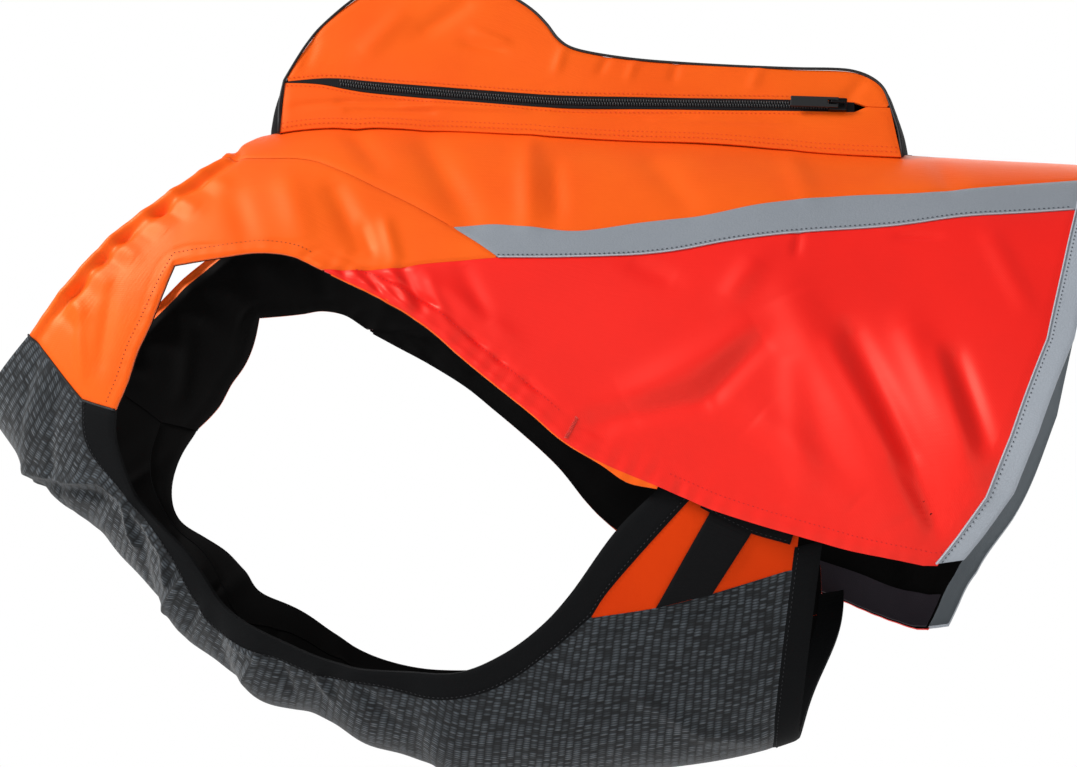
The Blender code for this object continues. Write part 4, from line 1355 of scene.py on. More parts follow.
def wound(patch: Grid, lift: float, sling: bool = False) -> tuple[Grid, Grid]:
    """Lay a patch of stations and turns on the form.

    Args:
        patch: station and turn of its points.
        lift: how far outside the form it lies.
        sling: whether it is chest or belly cloth.

    Returns:
        Its points and normals.
    """
    flat = patch.reshape(-1, 2)
    points, normals = FORM.skin(flat[:, 0], flat[:, 1], lift, sling)
    shape = patch.shape[:2] + (3,)
    return points.reshape(shape), normals.reshape(shape)


def drawn_in(points: Grid, normals: Grid, start: np.ndarray) -> tuple[Grid, Grid]:
    """Start each line across a piece further in from its top edge.

    Args:
        points: the piece's grid.
        normals: its normals.
        start: how far in each line starts.

    Returns:
        The smaller grid and its normals.
    """
    made, turned = [], []
    for line, up, first in zip(points, normals, start):
        along = lengths(line)
        at = np.linspace(first, along[-1], len(line))
        made.append(np.stack([np.interp(at, along, column) for column in line.T], axis=1))
        turned.append(np.stack([np.interp(at, along, column) for column in up.T], axis=1))
    return np.array(made), np.array(turned)


@dataclass
class Jacket:
    """Back, shoulders, flaps, tapes and the reflective rear edge."""

    wall: float = 1.5
    lining_lift: float = -1.8
    lining_wall: float = 1.0
    facing_lift: float = -3.4
    tape_wall: float = 1.9
    tape_proud: float = 0.4
    trim_wall: float = 3.4
    trim_proud: float = 0.5
    refine: int = 10
    back_refine: int = 7
    trim_refine: int = 6
    lining_refine: int = 4
    neck_casing: float = 6.0
    under: float = -1.2
    # How far each row of stitches lies from its edge, and how thick the tapes' pale lip is
    armhole_row: float = 7.5
    flap_row: float = 12.5
    hem_row: float = 9.5
    trim_row: float = 2.6
    tape_row: float = 1.9
    facing_row: float = 1.5
    lip: float = 0.4
    # Where the flap's stitched armhole hem ends, as a share of its edge, and the bar tack across it
    flap_row_end: float = 0.71
    tack: Table = ((197, -195), (191, -206))
    tack_zigzags: int = 15
    # The yoke's armhole rows, in a thread darkened with painted shade
    dark_rows: Sewing = field(
        default_factory=lambda: Sewing(
            "stitches_jacket_painted_shade", STITCH_THREAD_PAINTED_SHADE, stitch=0.9, space=1.8, thickness=0.6
        )
    )
    red_rows: Sewing = field(default_factory=lambda: Sewing("stitches_jacket_red", RED_THREAD))
    grey_rows: Sewing = field(
        default_factory=lambda: Sewing("stitches_jacket_grey", GREY_THREAD, thickness=0.65)
    )

    def _yoke_patch(self, refine: int) -> Grid:
        """Shoulder piece and front strap in one, in the side elevation."""
        upper = chain(
            edge(CUT.yoke_end, finer(3, refine), True),
            edge(CUT.yoke_seam, finer(9, refine), True),
            edge(CUT.neck_side, finer(9, refine)),
        )
        lower = chain(
            edge(CUT.shoulder_seam, finer(7, refine)),
            edge(CUT.armhole_top, finer(6, refine)),
            edge(CUT.armhole_front, finer(8, refine)),
        )
        rows = finer(7, refine)
        corner = np.array([CUT.binding_outer[0], CUT.binding_inner[0]], float)
        end = evenly(chain(edge(CUT.strap_seam, 40), corner), rows)
        return coons(upper, lower, np.linspace(upper[0], lower[0], rows), end)[1:]

    def _flap_patch(self, refine: int) -> Grid:
        """The side panel, in the side elevation."""
        upper = chain(
            edge(CUT.shoulder_seam, finer(7, refine), True), edge(CUT.tape_bottom, finer(18, refine))
        )
        back = finer(13, refine)
        lower = chain(edge(CUT.armhole_back, back), edge(CUT.hem, len(upper) - back + 1))
        rows = finer(10, refine)
        ends = FORM.place(np.array([upper[-1], lower[-1]]))
        turns = np.linspace(ends[0, 1], ends[1, 1], rows)
        rear = FORM.elevation_of(read(CUT.trim_front, turns), turns)
        upper[-1], lower[-1] = rear[0], rear[-1]
        return coons(upper, lower, np.linspace(upper[0], lower[0], rows), rear)[1:]

    def _tape_patch(self, refine: int) -> Grid:
        """The reflective tape along the top of the side panel."""
        upper = edge(CUT.tape_top, finer(18, refine))
        lower = edge(CUT.tape_bottom, finer(18, refine))
        rows = finer(3, refine)
        return coons(upper, lower, edge(CUT.yoke_end, rows), np.linspace(upper[-1], lower[-1], rows))

    def _back_patch(self, refine: int) -> Grid:
        """The back panel over the spine, as stations and turns."""
        upper = chain(edge(CUT.yoke_seam, finer(9, refine)), edge(CUT.tape_top, finer(18, refine)))
        border = FORM.place(upper)
        station, turn = border[:, :1], border[:, 1:]
        turns = turn * np.linspace(-1, 1, finer(11, refine))[None, :]
        front = read(CUT.neck_top, np.abs(turns[0])) - station[0]
        rear = read(CUT.trim_front, np.abs(turns[-1])) - station[-1]
        share = (station - station[0]) / (station[-1] - station[0])
        return np.stack([station + (1 - share) * front + share * rear, turns], axis=2)

    def _trim_patch(self, refine: int) -> Grid:
        """The reflective edge round the rear, as stations and turns."""
        last = CUT.trim_front[-1][0]
        turn = np.linspace(-last, last, finer(45, refine))
        front = read(CUT.trim_front, np.abs(turn)) + 0.004
        across = np.linspace(0, 1, finer(3, refine))
        rows = [np.stack([front + CUT.trim_width * share, turn], axis=1) for share in across]
        return np.stack(rows, axis=1)

    def _back(self) -> None:
        """The back panel, orange outside and lined in black."""
        refine = self.back_refine
        points, normals = wound(self._back_patch(refine), 0)
        seam = np.where(np.arange(len(points)) < finer(9, refine), 0.1, self.under)
        Shell(
            "back_cloth", points, normals, self.wall, ORANGE, LINING,
            {"top": seam, "bottom": seam, "rear": self.under}, sink=0.7, sink_width=1.6,
        ).declare("back_panel")

    def _trim(self) -> None:
        """The reflective edging, folded over the rear edge, with its row of stitches."""
        points, normals = wound(self._trim_patch(self.trim_refine), self.trim_proud)
        # The edging's wrong side carries painted shade
        Shell(
            "rear_edging", points, normals, self.trim_wall, TRIM, TRIM_REVERSE_PAINTED_SHADE, {"top": -0.6},
            sink=0.45, sink_width=1.4,
        ).declare("rear_trim")
        self.grey_rows.row(beside(points, "top", self.trim_row), normals[:, 0])
        lip = points[:, 0] + normals[:, 0] * 0.15
        tube("rear_edging_lip", lip, self.lip, PALE_THREAD)

    def _yoke(self, word: str, side: int) -> None:
        """The shoulder piece and strap of one side, with its casing at the neck and its lining.

        Args:
            word: the side's name.
            side: -1 for the left side, 1 for the right.
        """
        refine = self.refine
        points, normals = laid(self._yoke_patch(refine), side, 0)
        row = np.arange(len(points))
        top = np.where(row < finer(3, refine), -0.8, 0.32)
        bottom = np.where(row < finer(7, refine), 0.1, 0.0)
        Shell(
            f"yoke_cloth_{word}", points, normals, self.wall, ORANGE, ORANGE, {"top": top, "bottom": bottom},
            sink=0.7, sink_width=1.6,
        ).declare(f"yoke_{word}")
        armhole = slice(finer(7, refine) + 2, None)
        self.dark_rows.row(beside(points, "bottom", self.armhole_row)[armhole], normals[armhole, -1])
        strap_end, up = points[-1], normals[-1]
        tube(f"strap_seam_{word}", strap_end - up * 0.2, 0.7, BLACK_CORD)

        refine = 2 * self.lining_refine
        inner, inner_normals = laid(self._yoke_patch(refine), side, self.lining_lift - 0.2)
        start = self.neck_casing * step(np.arange(len(inner)), finer(10, refine) - 3, finer(10, refine) + 3)
        inner, inner_normals = drawn_in(inner, inner_normals, start)
        Shell(
            f"yoke_lining_cloth_{word}", inner, inner_normals, self.lining_wall, LINING, LINING,
            {"rear": self.under, "bottom": 0.0},
        ).declare(f"yoke_lining_{word}")

    def _flap(self, word: str, side: int) -> None:
        """The side panel of one side, its turned armhole edge, its bar tack and its lining.

        Args:
            word: the side's name.
            side: -1 for the left side, 1 for the right.
        """
        refine = self.refine
        points, normals = laid(self._flap_patch(refine), side, 0)
        row = np.arange(len(points))
        Shell(
            f"flap_cloth_{word}", points, normals, self.wall, RED, LINING,
            {"top": np.where(row < finer(7, refine), 0.1, self.under), "rear": self.under, "bottom": 0.0},
            sink=0.6, sink_width=1.8,
        ).declare(f"side_panel_{word}")
        back = finer(13, refine) - 1
        sewn = int(back * self.flap_row_end)
        self.red_rows.row(beside(points, "bottom", self.flap_row)[refine:sewn], normals[refine:sewn, -1])
        self.red_rows.row(beside(points, "bottom", self.hem_row)[back:], normals[back:, -1])
        self._turning(word, points[:back], normals[:back])

        ends = np.asarray(self.tack, float)
        run = ends[1] - ends[0]
        across = np.array([-run[1], run[0]]) / np.linalg.norm(run)
        share = np.linspace(0, 1, 2 * self.tack_zigzags + 1)[:, None]
        swing = np.where(np.arange(len(share)) % 2, 1.1, -1.1)[:, None]
        path, _ = laid((ends[0] + run * share + across * swing)[:, None], side, 0.15)
        tube(f"bar_tack_{word}", path[:, 0], 0.32, DARK_RED_THREAD, 6)

        inner, inner_normals = laid(self._flap_patch(self.lining_refine), side, self.lining_lift - 0.15)
        along_armhole = np.arange(len(inner)) < finer(13, self.lining_refine) - 1
        Shell(
            f"flap_lining_cloth_{word}", inner, inner_normals, self.lining_wall, LINING, LINING,
            {"top": -1.6, "rear": self.under, "bottom": np.where(along_armhole, -0.7, 0.5)},
        ).declare(f"side_lining_{word}")
        self._facing(word, side)

    def _turning(self, word: str, points: Grid, normals: Grid) -> None:
        """The orange cloth turned under the flap's armhole edge, which shows as a line along it.

        Towards the hem, where the edge isn't sewn down, it has slipped out and shows wider.

        Args:
            word: the side's name.
            points: the flap's grid along the armhole.
            normals: its normals.
        """
        rim, up = points[:, -1], normals[:, -1]
        inside = beside(points, "bottom", 3.0)
        inside[:2] = rim[:2]
        out = rim - inside
        out /= np.linalg.norm(out, axis=1)[:, None] + 1e-12
        share = np.linspace(0, 1, len(rim))
        shown = 0.8 + 3.8 * np.exp(-(((share - 0.93) / 0.06) ** 2))
        far = rim + out * shown[:, None]
        grid = np.stack([inside + (far - inside) * part for part in np.linspace(0, 1, 6)], axis=1)
        grid = grid - up[:, None] * 0.8
        tall = np.broadcast_to(up[:, None], grid.shape)
        strip_shell = Shell(
            f"armhole_turning_{word}", grid[2:], tall[2:], 0.7, ORANGE, ORANGE, sink=0.3, sink_width=0.8
        )
        strip_shell.build()

    def _tape(self, word: str, side: int) -> None:
        """The reflective tape of one side.

        Args:
            word: the side's name.
            side: -1 for the left side, 1 for the right.
        """
        points, normals = laid(self._tape_patch(self.refine), side, self.tape_proud)
        Shell(
            f"tape_{word}", points, normals, self.tape_wall, TAPE, LINING,
            {"top": -0.3, "bottom": -0.3, "front": -0.3, "rear": self.under}, sink=0.4, sink_width=1.2,
        ).declare(f"reflective_tape_{word}")
        self.grey_rows.row(beside(points, "bottom", self.tape_row), normals[:, -1])
        lip = points[:, -1] - normals[:, -1] * 0.1
        tube(f"tape_lip_{word}", lip, self.lip, PALE_THREAD)

    def _facing(self, word: str, side: int) -> None:
        """The turned hem inside the flap.

        Args:
            word: the side's name.
            side: -1 for the left side, 1 for the right.
        """
        refine = self.lining_refine
        patch = self._flap_patch(refine)[finer(13, refine):, -refine - 1:]
        points, normals = laid(patch, side, self.facing_lift)
        kept = slice(int(refine * (1 - CUT.facing_share)), None)
        points, normals = points[:, kept], normals[:, kept]
        Shell(
            f"hem_facing_cloth_{word}", points, normals, self.lining_wall, FACING, FACING
        ).declare(f"hem_facing_{word}")
        inside = points - normals * self.lining_wall
        self.red_rows.row(beside(inside, "top", self.facing_row), -normals[:, 0])

    def build(self) -> None:
        """Make the jacket's pieces."""
        self._back()
        self._trim()
        for word, side in SIDES:
            self._yoke(word, side)
            self._flap(word, side)
            self._tape(word, side)
        for sewing, slot in (
            (self.dark_rows, "orange_cloth"),
            (self.red_rows, "red_cloth"),
            (self.grey_rows, "reflective_tape"),
        ):
            made = sewing.build()


# ---- sling ----

@dataclass
class Sling:
    """Chest and belly: the ribbed panel, its bindings, the orange belly sides and their webbing."""

    wall: float = 1.5
    binding_wall: float = 2.4
    binding_proud: float = 0.5
    webbing_wall: float = 1.6
    webbing_lift: float = 1.9
    belly_lift: float = -0.4
    refine: int = 9
    side_refine: int = 5
    band_count: int = 40
    webbing_rows: int = 19
    band_rows: int = 13
    rear_count: int = 150
    rear_width: float = 0.2
    under: float = -1.2
    # How far the rows of stitches lie from the bindings' inner edges
    binding_row: float = 2.2
    band_row: float = 1.8
    rows: Sewing = field(default_factory=lambda: Sewing("stitches_sling_black", BLACK_THREAD))

    def _chest_patch(self, refine: int) -> Grid:
        """Chest, keel and belly in one, as stations and turns."""
        border = FORM.place(chain(
            edge(CUT.strap_seam, finer(4, refine)),
            edge(CUT.binding_outer, finer(30, refine)),
            edge(CUT.belly_top, finer(9, refine)),
        ))
        border[-1, 0] = CUT.sling_end
        station, turn = border[:, :1], border[:, 1:]
        share = np.linspace(0, 1, finer(13, refine))[None, :]
        keel = np.interp(station, (station[0, 0], station[-1, 0]), (-0.1, CUT.sling_end))
        around = turn + (360 - 2 * turn) * share
        return np.stack([station + (keel - station) * np.sin(np.pi * share), -around], axis=2)

    def _binding_patch(self, refine: int) -> Grid:
        """The binding along the chest and belly edge of an armhole."""
        outer = chain(
            edge(CUT.binding_outer, finer(30, refine)), edge(CUT.binding_upright, finer(7, refine))
        )
        return strip(edge(CUT.binding_inner, len(outer)), outer, finer(3, refine))

    def _belly_side_patch(self, refine: int) -> Grid:
        """The orange piece between the belly panel and the flap."""
        count, rows = finer(9, refine), finer(7, refine)
        upper, lower = edge(CUT.sling_top, count), edge(CUT.belly_top, count)
        ends = FORM.place(np.array([upper[-1], lower[-1]]))
        rear = FORM.elevation_of(np.full(rows, CUT.sling_end), np.linspace(ends[0, 1], ends[1, 1], rows))
        upper[-1], lower[-1] = rear[0], rear[-1]
        return coons(upper, lower, edge(CUT.binding_upright, rows, True), rear)

    def _side(self, word: str, side: int) -> None:
        """The sling's pieces of one side.

        Args:
            word: the side's name.
            side: -1 for the left side, 1 for the right.
        """
        points, normals = laid(self._binding_patch(self.side_refine), side, self.binding_proud, True)
        Shell(
            f"armhole_edging_{word}", points, normals, self.binding_wall, BINDING, LINING,
            {"front": -0.8, "bottom": -0.2}, sink=0.8, sink_width=1.8,
        ).declare(f"armhole_binding_{word}")
        self.rows.row(beside(points, "bottom", self.binding_row), normals[:, -1])

        # Sewn in under the chest cloth and the bindings all round
        points, normals = laid(self._belly_side_patch(self.side_refine), side, self.belly_lift, True)
        # The belly cloth's deeper orange is painted shade
        Shell(
            f"belly_cloth_{word}", points, normals, self.wall, BELLY_ORANGE_PAINTED_SHADE, LINING,
            {edge_name: self.under for edge_name in ("top", "bottom", "front", "rear")}, sink=0.3,
        ).declare(f"belly_side_{word}")

        count = self.band_count
        ends = strip(edge(CUT.webbing_front, count), edge(CUT.webbing_rear, count), self.webbing_rows)
        points, normals = laid(ends, side, self.webbing_lift, True)
        Shell(
            f"webbing_{word}", points, normals, self.webbing_wall, WEBBING, WEBBING, {"front": -1.0},
            sink=0.4, sink_width=1.2,
        ).declare(f"belly_webbing_{word}")

        band = strip(edge(CUT.top_binding_low, count), edge(CUT.top_binding_high, count), self.band_rows)
        points, normals = laid(band, side, self.webbing_lift, True)
        Shell(
            f"belly_top_edging_{word}", points, normals, self.webbing_wall, BINDING, BINDING
        ).declare(f"belly_top_binding_{word}")
        self.rows.row(beside(points, "top", self.band_row), normals[:, 0])

    def build(self) -> None:
        """Make the sling's pieces."""
        points, normals = wound(self._chest_patch(self.refine), 0, True)
        row = np.arange(len(points))
        strap, bound = finer(4, self.refine), finer(4, self.refine) + 29 * self.refine
        border = np.where(row < strap, 0.1, np.where(row < bound, self.under, 0.0))
        Shell(
            "chest_cloth", points, normals, self.wall, ARMOUR, LINING,
            {"top": border, "bottom": border, "rear": self.under}, sink=0.25,
        ).declare("chest_panel")
        turn = np.linspace(CUT.rear_binding_turn, 360 - CUT.rear_binding_turn, self.rear_count)
        station = CUT.sling_end + self.rear_width * np.linspace(0, 1, 10)
        patch = np.stack([np.stack([np.full(len(turn), at), -turn], axis=1) for at in station], axis=1)
        points, normals = wound(patch, self.binding_proud, True)
        Shell(
            "belly_rear_edging", points, normals, self.binding_wall, BINDING, BINDING, {"top": -0.3},
            sink=0.8, sink_width=1.8,
        ).declare("belly_rear_binding")
        self.rows.row(beside(points, "top", self.binding_row), normals[:, 0])
        for word, side in SIDES:
            self._side(word, side)
        made = self.rows.build()


# ---- pouch ----

@dataclass
class Pouch:
    """The long pouch on the back: two faces, the strip over its top, piping and the zip."""

    half_base: float = 30.0
    lean: float = 0.2
    crown: float = 2.5
    crown_height: float = 45.0
    wall: float = 1.5
    zip_wall: float = 1.0
    # Points along a face, how many of them lie beside the zip, and the rows of stitches off their edges
    count: int = 200
    beside_zip: int = 178
    seam_row: float = 2.2
    foot_rows: tuple[float, ...] = (3.0, 6.0)
    front: Table = ((11, 0), (11, 14), (13, 29))
    top: Table = (
        (13, 29), (20, 44), (26, 55), (34, 66), (50, 81.5), (64, 91), (81, 97.5), (100, 99), (119, 96.5),
        (139, 89), (153, 80), (163, 72), (171, 63), (178, 53), (186, 46.5), (200, 42), (223, 37.5),
        (246, 34.5), (280, 31.2), (320, 28.2), (345, 27), (357, 25.2), (367, 20.5), (374, 13), (378, 1),
    )
    rear: Table = ((378, 1), (382, -14), (384, -29))
    zip_line: Table = (
        (13, 28, 0.8), (25, 28.3, 2.4), (37, 28, 4.5), (50, 26, 7.0), (68, 23, 8.0), (120, 16.5, 8.4),
        (177, 10.5, 8.4), (235, 7.5, 8.0), (300, 4.8, 7.6), (345, 2.2, 7.2), (357, 1.4, 6.6),
    )
    bulge: Table = (
        (0.0, 11.0), (0.03, 7.5), (0.06, 3.2), (0.12, 2.0), (0.8, 2.0), (0.93, 4.0), (1.0, 5.0)
    )
    zip_end: float = 357.0
    tooth_pitch: float = 1.6
    piping: float = 0.9
    folds: tuple[Crease, ...] = creases(
        (-1, 46, 14, 100, 12, 3.0, -1.5), (-1, 52, 8, 104, 5, 3.0, -1.3), (-1, 86, 11, 160, 5, 3.0, 1.2),
        (-1, 18, 12, 54, 14, 3.0, -1.0), (-1, 178, 4, 262, -3, 3.0, -1.1), (-1, 236, -3, 318, -8, 3.0, 0.9),
        (-1, 94, 60, 124, 80, 9, -1.8), (-1, 60, 46, 84, 74, 10, 1.2), (-1, 126, 60, 148, 51, 4.5, 1.3),
        (-1, 120, 52, 146, 46, 4.5, -1.1), (-1, 24, 38, 30, 58, 6, -1.0), (-1, 178, 30, 182, 46, 5, 1.0),
        (-1, 204, 28, 209, 40, 4, -1.0), (-1, 222, 24, 226, 37, 4, 0.9), (-1, 248, 22, 251, 34, 4, -0.9),
        (-1, 296, 16, 301, 30, 5, 0.8), (-1, 352, 6, 364, 22, 6, -1.0), (1, 50, 40, 96, 70, 10, -1.8),
        (1, 118, 62, 150, 48, 6, 1.4), (1, 60, 10, 120, 8, 3.5, -0.9), (1, 190, 20, 212, 40, 6, 1.0),
        (1, 236, 12, 246, 34, 5, -1.0), (1, 300, 4, 340, 20, 7, 1.0),
    )
    rows: Sewing = field(default_factory=lambda: Sewing("stitches_pouch", ORANGE_THREAD, thickness=0.36))

    def _back_height(self, x: np.ndarray, y: np.ndarray) -> np.ndarray:
        """Height of the back cloth under points of the plan.

        Args:
            x: along the back.
            y: across it.

        Returns:
            The height at each point.
        """
        station = np.interp(x, [ring[0] for ring in FORM.rings], np.arange(len(FORM.rings)))
        turn = np.degrees(np.asarray(y, float) / FORM.rings[4][4])
        for _ in range(30):
            points, _ = FORM.skin(station, turn, 0, False)
            station = station + (x - points[:, 0]) / 90
            turn = turn + np.degrees((y - points[:, 1]) / 130)
        return points[:, 2]

    def _face(self, elevation: Grid, side: int) -> Grid:
        """Points of a leaning side face.

        Args:
            elevation: x and z of the points.
            side: -1 for the left face, 1 for the right.

        Returns:
            The points.
        """
        x, z = elevation[..., 0], elevation[..., 1]
        foot = np.interp(x, (self.front[0][0], self.rear[-1][0]), (self.front[0][1], self.rear[-1][1]))
        height = z - foot
        half_crown = self.crown_height / 2
        crown = self.crown * np.exp(-(((height - half_crown) / half_crown) ** 2))
        return np.stack([x, side * (self.half_base - self.lean * height + crown), z], axis=-1)

    def _foot(self, count: int, side: int = -1) -> np.ndarray:
        """The line where a side face stands on the back cloth.

        Args:
            count: how many points it has.
            side: -1 for the left face, 1 for the right.

        Returns:
            x and z of the points.
        """
        x = np.linspace(self.front[0][0], self.rear[-1][0], count)
        z = self._back_height(x, np.full(count, side * (self.half_base - self.wall)))
        return np.stack([x, z + 0.2], axis=1)

    def _zip_edge(self, above: int, count: int) -> np.ndarray:
        """An edge of the zip.

        Args:
            above: 1 for the upper edge, -1 for the lower.
            count: how many points it has.

        Returns:
            x and z of the points.
        """
        line = edge(self.zip_line, count)
        return line[:, :2] + np.stack([np.zeros(count), above * line[:, 2] / 2], axis=1)

    def _zip_seam(self, above: int, count: int) -> np.ndarray:
        """A zip edge and the seam behind it, to the pouch's rear edge.

        Args:
            above: 1 for the upper edge, -1 for the lower.
            count: how many points it has.

        Returns:
            x and z of the points.
        """
        end = self.top[-1]
        behind = (
            (self.zip_end + 7, end[1] + 0.6 + above * 0.1), (self.zip_end + 15, end[1] + above * 0.1),
            (end[0], end[1] - 0.3 + above * 0.1),
        )
        return evenly(np.concatenate([self._zip_edge(above, 60), np.array(behind, float)]), count)

    def _wall(self, name: str, node: str, patch: Grid, side: int, finish: ClothFinish) -> Grid:
        """A wall of the pouch.

        Args:
            name: the piece's name.
            node: the solid it stands for.
            patch: x and z of its points.
            side: -1 for the left face, 1 for the right.
            finish: its cloth.

        Returns:
            The wall's points.
        """
        points = self._face(patch, side)
        normals = normals_of(points, (0, side, 0))
        x, z = points[..., 0], points[..., 2]
        relief = 0.5 * np.sin(x / 23 + side) * np.sin(z / 9 + x / 41)
        for fold in self.folds:
            if fold.side == side:
                relief += fold.lift(patch.reshape(-1, 2)).reshape(x.shape)
        points = points + normals * relief[..., None]
        Shell(name, points, normals, self.wall, finish, LINING).declare(node)
        return points

    def _faces(self) -> None:
        """The two orange faces, with the row of stitches along their feet."""
        count, sewn = self.count, self.beside_zip
        upper = strip(edge(self.top, count), self._zip_seam(1, count), 36)[1:-1]
        points = self._wall("pouch_upper_face", "pouch_upper_left", upper, -1, ORANGE)
        across = normals_of(points, (0, -1, 0))
        self.rows.row(beside(points, "bottom", self.seam_row)[:sewn], across[:sewn, -1])
        lower = strip(self._zip_seam(-1, count), self._foot(count), 20)
        points = self._wall("pouch_lower_face", "pouch_lower_left", lower, -1, ORANGE)
        across = normals_of(points, (0, -1, 0))
        self.rows.row(beside(points, "top", self.seam_row)[:sewn], across[:sewn, 0])
        for distance in self.foot_rows:
            self.rows.row(beside(points, "bottom", distance), across[:, -1])
        foot = self._foot(count, 1)
        front = np.concatenate([np.array(self.front[::-1][:-1], float), foot[:1]])
        rear = np.concatenate([np.array(self.rear[:-1], float), foot[-1:]])
        whole = coons(edge(self.top, count), foot, evenly(front, 46), evenly(rear, 46))
        points = self._wall("pouch_right_face", "pouch_right", whole, 1, ORANGE)
        across = normals_of(points, (0, 1, 0))
        for distance in self.foot_rows:
            self.rows.row(beside(points, "bottom", distance), across[:, -1])

    def _outline(self) -> np.ndarray:
        """The pouch's outline from its front foot over the top to its rear foot."""
        foot = self._foot(2)
        return chain(
            np.concatenate([foot[:1], edge(self.front, 12)[1:]]),
            edge(self.top, 220),
            np.concatenate([edge(self.rear, 12)[:-1], foot[-1:]]),
        )

    def _gusset(self) -> None:
        """The black strip over the top, and the piping on both of its edges."""
        outline = self._outline()
        along = np.gradient(outline, axis=0)
        out = np.stack([-along[:, 1], along[:, 0]], axis=1) / np.linalg.norm(along, axis=1)[:, None]
        bulge = read(self.bulge, np.linspace(0, 1, len(outline)))
        half = np.abs(self._face(outline, 1)[:, 1]) - self.wall - 0.3
        rows = []
        for across in np.linspace(-1, 1, 21):
            lifted = outline + out * (bulge * (1 - across**2))[:, None]
            rows.append(np.stack([lifted[:, 0], half * across, lifted[:, 1]], axis=1))
        points = np.stack(rows, axis=1)
        for end in (0, -1):
            points[end, :, 2] = self._back_height(points[end, :, 0], points[end, :, 1]) + 0.3
        normals = normals_of(points, (0, 0, 1))
        for end in (0, -1):
            normals[end, :, 2] = 0
            normals[end] /= np.linalg.norm(normals[end], axis=1)[:, None]
        Shell(
            "pouch_strip", points, normals, self.wall, BINDING, LINING
        ).declare("pouch_gusset")
        for word, side in SIDES:
            path = self._face(outline + out * 0.6, side)
            path[:, 1] -= side * 0.3
            cord = tube(f"pouch_piping_{word}", path, self.piping, BLACK_CORD)

    def _zip(self) -> None:
        """The zip's tape and its coil of teeth."""
        count = 160
        patch = strip(self._zip_edge(1, count), self._zip_edge(-1, count), 7)
        points = self._face(patch, -1)
        normals = normals_of(points, (0, -1, 0))
        points = points - normals * 0.3
        Shell(
            "zip_cloth", points, normals, self.zip_wall, ZIP_CLOTH, ZIP_CLOTH, sink=0.1
        ).declare("zip_tape")
        line = edge(self.zip_line, 900)
        middle = self._face(line[:, :2], -1)
        up = np.cross(np.gradient(middle, axis=0), np.array([0.0, -1.0, 0.0]))
        up /= np.linalg.norm(up, axis=1)[:, None]
        along = lengths(middle)
        vertices, faces = [], []
        for number, spot in enumerate(np.arange(34.0, along[-1] - 12, self.tooth_pitch / 2)):
            centre = np.array([np.interp(spot, along, column) for column in middle.T])
            rise = np.array([np.interp(spot, along, column) for column in up.T])
            ahead = np.cross(np.array([0.0, -1.0, 0.0]), rise)
            out = np.cross(rise, ahead) * -1
            if out[1] > 0:
                out = -out
            centre = centre + rise * (0.95 if number % 2 else -0.95)
            first = len(vertices)
            for height, grow in ((0.0, 1.0), (0.7, 1.0), (1.05, 0.55)):
                for forward, rising in ((-1, -1), (1, -1), (1, 1), (-1, 1)):
                    vertices.append(
                        centre + ahead * forward * 0.42 * grow + rise * rising * 1.15 * grow
                        + out * (height - 0.3)
                    )
            for band in (0, 4):
                for corner in range(4):
                    here, after = first + band + corner, first + band + (corner + 1) % 4
                    faces.append((here, after, after + 4, here + 4))
            faces.append(tuple(first + 8 + corner for corner in range(4)))
            faces.append(tuple(first + corner for corner in (3, 2, 1, 0)))
        coil = finished_object("zip_coil", np.array(vertices), faces, (ZIP_COIL.material(),))

    def build(self) -> None:
        """Make the pouch's pieces."""
        self._faces()
        self._gusset()
        self._zip()
        made = self.rows.build()


def dress_hardware() -> None:
    """Give the slider and the pull tab, whose solids are right, their own finishes."""
    for node, finish in (("zip_slider", LACQUER), ("zip_pull", RUBBER)):
        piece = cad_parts[node]
        piece.data.materials.clear()
        piece.data.materials.append(finish.material())


# ---- studio ----

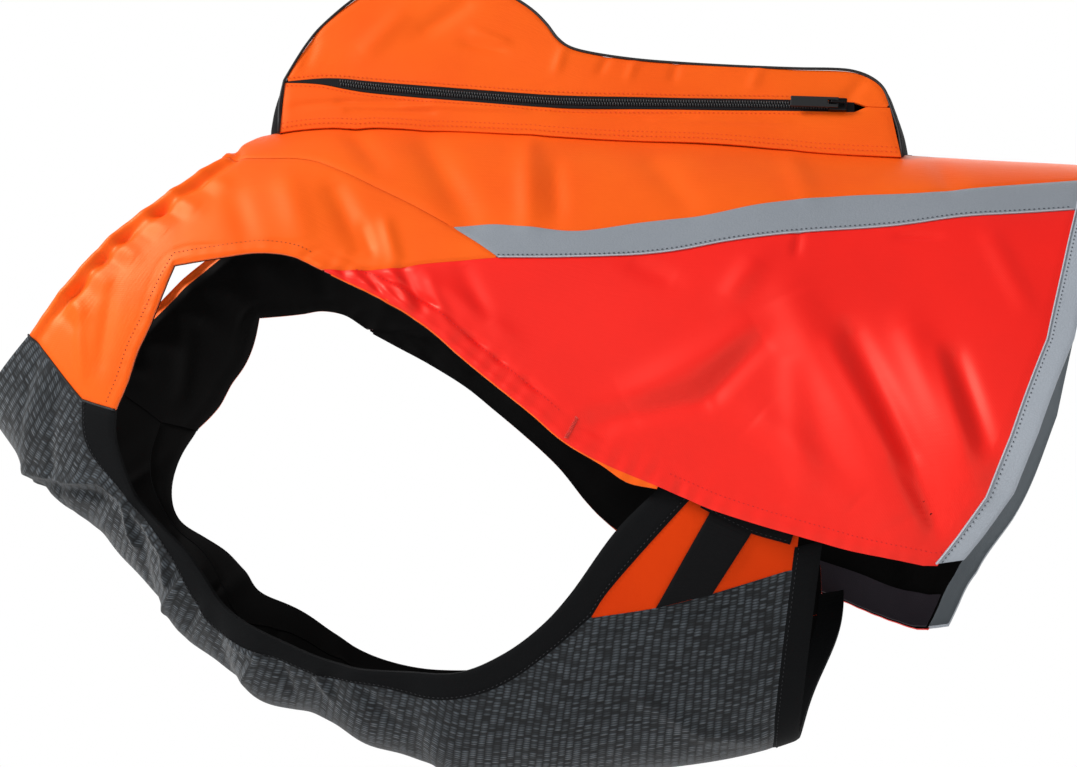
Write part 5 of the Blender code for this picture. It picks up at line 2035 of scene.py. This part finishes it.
@dataclass
class Studio:
    """A pale studio: floor, soft lights and the camera at the photograph's angle."""

    target: tuple[float, float, float] = (0.165, 0.0, -0.157)
    azimuth: float = 6.0
    elevation: float = -12.0
    distance: float = 2.0
    focal: float = 111.6
    floor_height: float = -0.72
    backdrop_depth: float = 8.0
    backdrop_reach: float = 9.0

    def _camera(self) -> None:
        """Place the camera."""
        turn, rise = math.radians(self.azimuth), math.radians(self.elevation)
        back = Vector((math.sin(turn) * math.cos(rise), -math.cos(turn) * math.cos(rise), math.sin(rise)))
        data = bpy.data.cameras.new("camera")
        data.lens, data.sensor_width = self.focal, 36.0
        data.clip_start, data.clip_end = 0.05, 30.0
        made = bpy.data.objects.new("camera", data)
        made.location = Vector(self.target) + back * self.distance
        made.rotation_mode = "QUATERNION"
        made.rotation_quaternion = (-back).to_track_quat("-Z", "Y")
        bpy.context.scene.collection.objects.link(made)
        bpy.context.scene.camera = made

    def _light(self, name: str, spot: Sequence[float], size: float, power: float) -> None:
        """Place a soft square light that faces the vest.

        Args:
            name: its name.
            spot: where it hangs.
            size: its side, in metres.
            power: its power, in watts.
        """
        data = bpy.data.lights.new(name, "AREA")
        data.shape, data.size, data.energy = "SQUARE", size, power
        made = bpy.data.objects.new(name, data)
        made.location = spot
        made.rotation_mode = "QUATERNION"
        made.rotation_quaternion = (Vector(self.target) - Vector(spot)).to_track_quat("-Z", "Y")
        bpy.context.scene.collection.objects.link(made)

    def build(self) -> None:
        """Make the studio."""
        scene = bpy.context.scene
        scene.view_settings.view_transform = "Standard"
        scene.view_settings.look = "None"
        world = bpy.data.worlds.new("pale_studio")
        world.use_nodes = True
        world.node_tree.nodes.clear()
        sky = add_node(world.node_tree, "Background", {"Color": (1.0, 1.0, 1.0, 1.0), "Strength": 0.28})
        add_node(world.node_tree, "OutputWorld", links={"Surface": sky.outputs[0]})
        scene.world = world
        self._light("key_light", (-2.1, -1.2, 1.6), 0.9, 90.0)
        self._light("fill_light", (0.9, -2.4, 0.1), 1.8, 9.0)
        self._light("rim_light", (0.6, 1.8, 1.6), 1.6, 12.0)
        reach, level, back = self.backdrop_reach, self.floor_height, self.backdrop_depth
        paper = HardFinish("pale_paper", "#F2F2F2", 0.8, grain=0.1, grain_size=4.0).material()
        self._sheet_of_paper(
            "floor", paper,
            [(-reach, -reach, level), (reach, -reach, level), (reach, reach, level), (-reach, reach, level)],
        )
        lit, lit_tree = blank_material("lit_backdrop")
        glow = add_node(lit_tree, "Emission", {"Color": (1.0, 1.0, 1.0, 1.0), "Strength": 1.0})
        add_node(lit_tree, "OutputMaterial", links={"Surface": glow.outputs[0]})
        reach, top = self.backdrop_reach, level + self.backdrop_reach
        low, high = [(-reach, back, level), (reach, back, level)], [(reach, back, top), (-reach, back, top)]
        self._sheet_of_paper("backdrop", lit, low + high)
        self._camera()

    def _sheet_of_paper(
        self, name: str, finish: bpy.types.Material, corners: Sequence[tuple[float, float, float]]
    ) -> None:
        """Lay out a flat piece of the studio.

        Args:
            name: its name.
            finish: its material.
            corners: its corners, in metres.
        """
        data = bpy.data.meshes.new(name)
        data.from_pydata([tuple(corner) for corner in corners], [], [(0, 1, 2, 3)])
        data.materials.append(finish)
        piece = bpy.data.objects.new(name, data)
        bpy.context.scene.collection.objects.link(piece)


def main() -> None:
    """Dress the vest and set up the studio."""
    logging.basicConfig(level=logging.INFO, format="%(name)s: %(message)s")
    Jacket().build()
    Sling().build()
    Pouch().build()
    dress_hardware()
    Studio().build()


if __name__ == "__main__":
    main()
